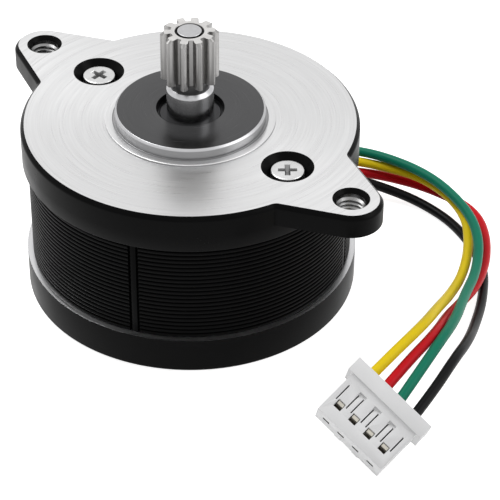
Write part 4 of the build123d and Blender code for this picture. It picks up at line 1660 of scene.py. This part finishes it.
class MOTOR_OT_inner_finishes(bpy.types.Operator):
    """Finishes the inner parts that keep their solid shape: windings, rotor and bearings"""

    bl_idname = "motor.inner_finishes"
    bl_label = "Inner Finishes"

    def execute(self, context):
        bearing = turned_metal("bearing_steel", (0.6, 0.6, 0.61), 0.16, depth=3e-7)
        shaded = turned_metal("shaded_race", (0.045, 0.045, 0.047), 0.2, depth=3e-7)
        shield = turned_metal("bearing_shield", (0.03, 0.03, 0.032), 0.3, rings=8000.0)
        finishes = [
            (
                coated("insulator_nylon", (0.62, 0.6, 0.55), 0.5, grain=4000.0, spread=0.05),
                ["front_insulator", "rear_insulator"],
            ),
            (wound_copper("enamelled_copper"), ["winding_phase_a", "winding_phase_b"]),
            (
                turned_metal("electrical_steel", (0.42, 0.42, 0.44), 0.35),
                ["rotor_cup_front", "rotor_cup_rear"],
            ),
            (grained_metal("sintered_magnet", (0.3, 0.3, 0.32), 0.4), ["rotor_magnet"]),
            (grained_metal("spring_steel", (0.4, 0.4, 0.41), 0.3), ["wave_washer"]),
            (
                grained_metal("pressed_cage", (0.5, 0.47, 0.4), 0.35),
                ["front_bearing_cage", "rear_bearing_cage"],
            ),
        ]
        for end in ("front", "rear"):
            races = [end + "_bearing_outer_race", end + "_bearing_balls"]
            finishes.append((bearing, races))
            finishes.append((shaded, [end + "_bearing_inner_race", end + "_spacer"]))
            finishes.append((shield, [end + "_bearing_shields"]))
        for material, node_names in finishes:
            for node_name in node_names:
                node = bpy.data.objects[node_name]
                node.data.materials.clear()
                node.data.materials.append(material)
        return {"FINISHED"}


class MOTOR_OT_stage(bpy.types.Operator):
    """Makes the camera, the pale floor, the surroundings and the lamps"""

    bl_idname = "motor.stage"
    bl_label = "Stage"

    def execute(self, context):
        sizes = scene_sizes()
        make_camera()
        make_world(sizes.surroundings)
        make_floor(sizes)
        make_lamp("main_lamp", (-0.25, -0.05, 0.45), 0.25, sizes.lamp_power)
        make_lamp("side_lamp", (0.35, 0.2, 0.3), 0.3, sizes.lamp_power * 0.5)
        context.scene.view_settings.view_transform = "Standard"
        return {"FINISHED"}


class MOTOR_PT_panel(bpy.types.Panel):
    """Panel with the motor's steps and settings"""

    bl_label = "Motor"
    bl_idname = "MOTOR_PT_panel"
    bl_space_type = "VIEW_3D"
    bl_region_type = "UI"
    bl_category = "Motor"

    def draw(self, context):
        column = self.layout.column()
        for step in steps:
            column.operator(step.bl_idname)
        for name in MotorSettings.__annotations__:
            column.prop(context.scene.motor_settings, name)


steps = (
    MOTOR_OT_stage,
    MOTOR_OT_lead,
    MOTOR_OT_case,
    MOTOR_OT_stack,
    MOTOR_OT_screws,
    MOTOR_OT_shaft,
    MOTOR_OT_inner_finishes,
)
classes = (MotorSettings,) + steps + (MOTOR_PT_panel,)


def register():
    """Registers the settings, the operators and the panel."""
    for cls in classes:
        bpy.utils.register_class(cls)
    bpy.types.Scene.motor_settings = PointerProperty(type=MotorSettings)


def unregister():
    """Takes them away again."""
    del bpy.types.Scene.motor_settings
    for cls in reversed(classes):
        bpy.utils.unregister_class(cls)


def main():
    """Makes the whole scene."""
    register()
    bpy.ops.motor.stage()
    bpy.ops.motor.lead()
    bpy.ops.motor.case()
    bpy.ops.motor.stack()
    bpy.ops.motor.screws()
    bpy.ops.motor.shaft()
    bpy.ops.motor.inner_finishes()


if __name__ == "__main__":
    main()
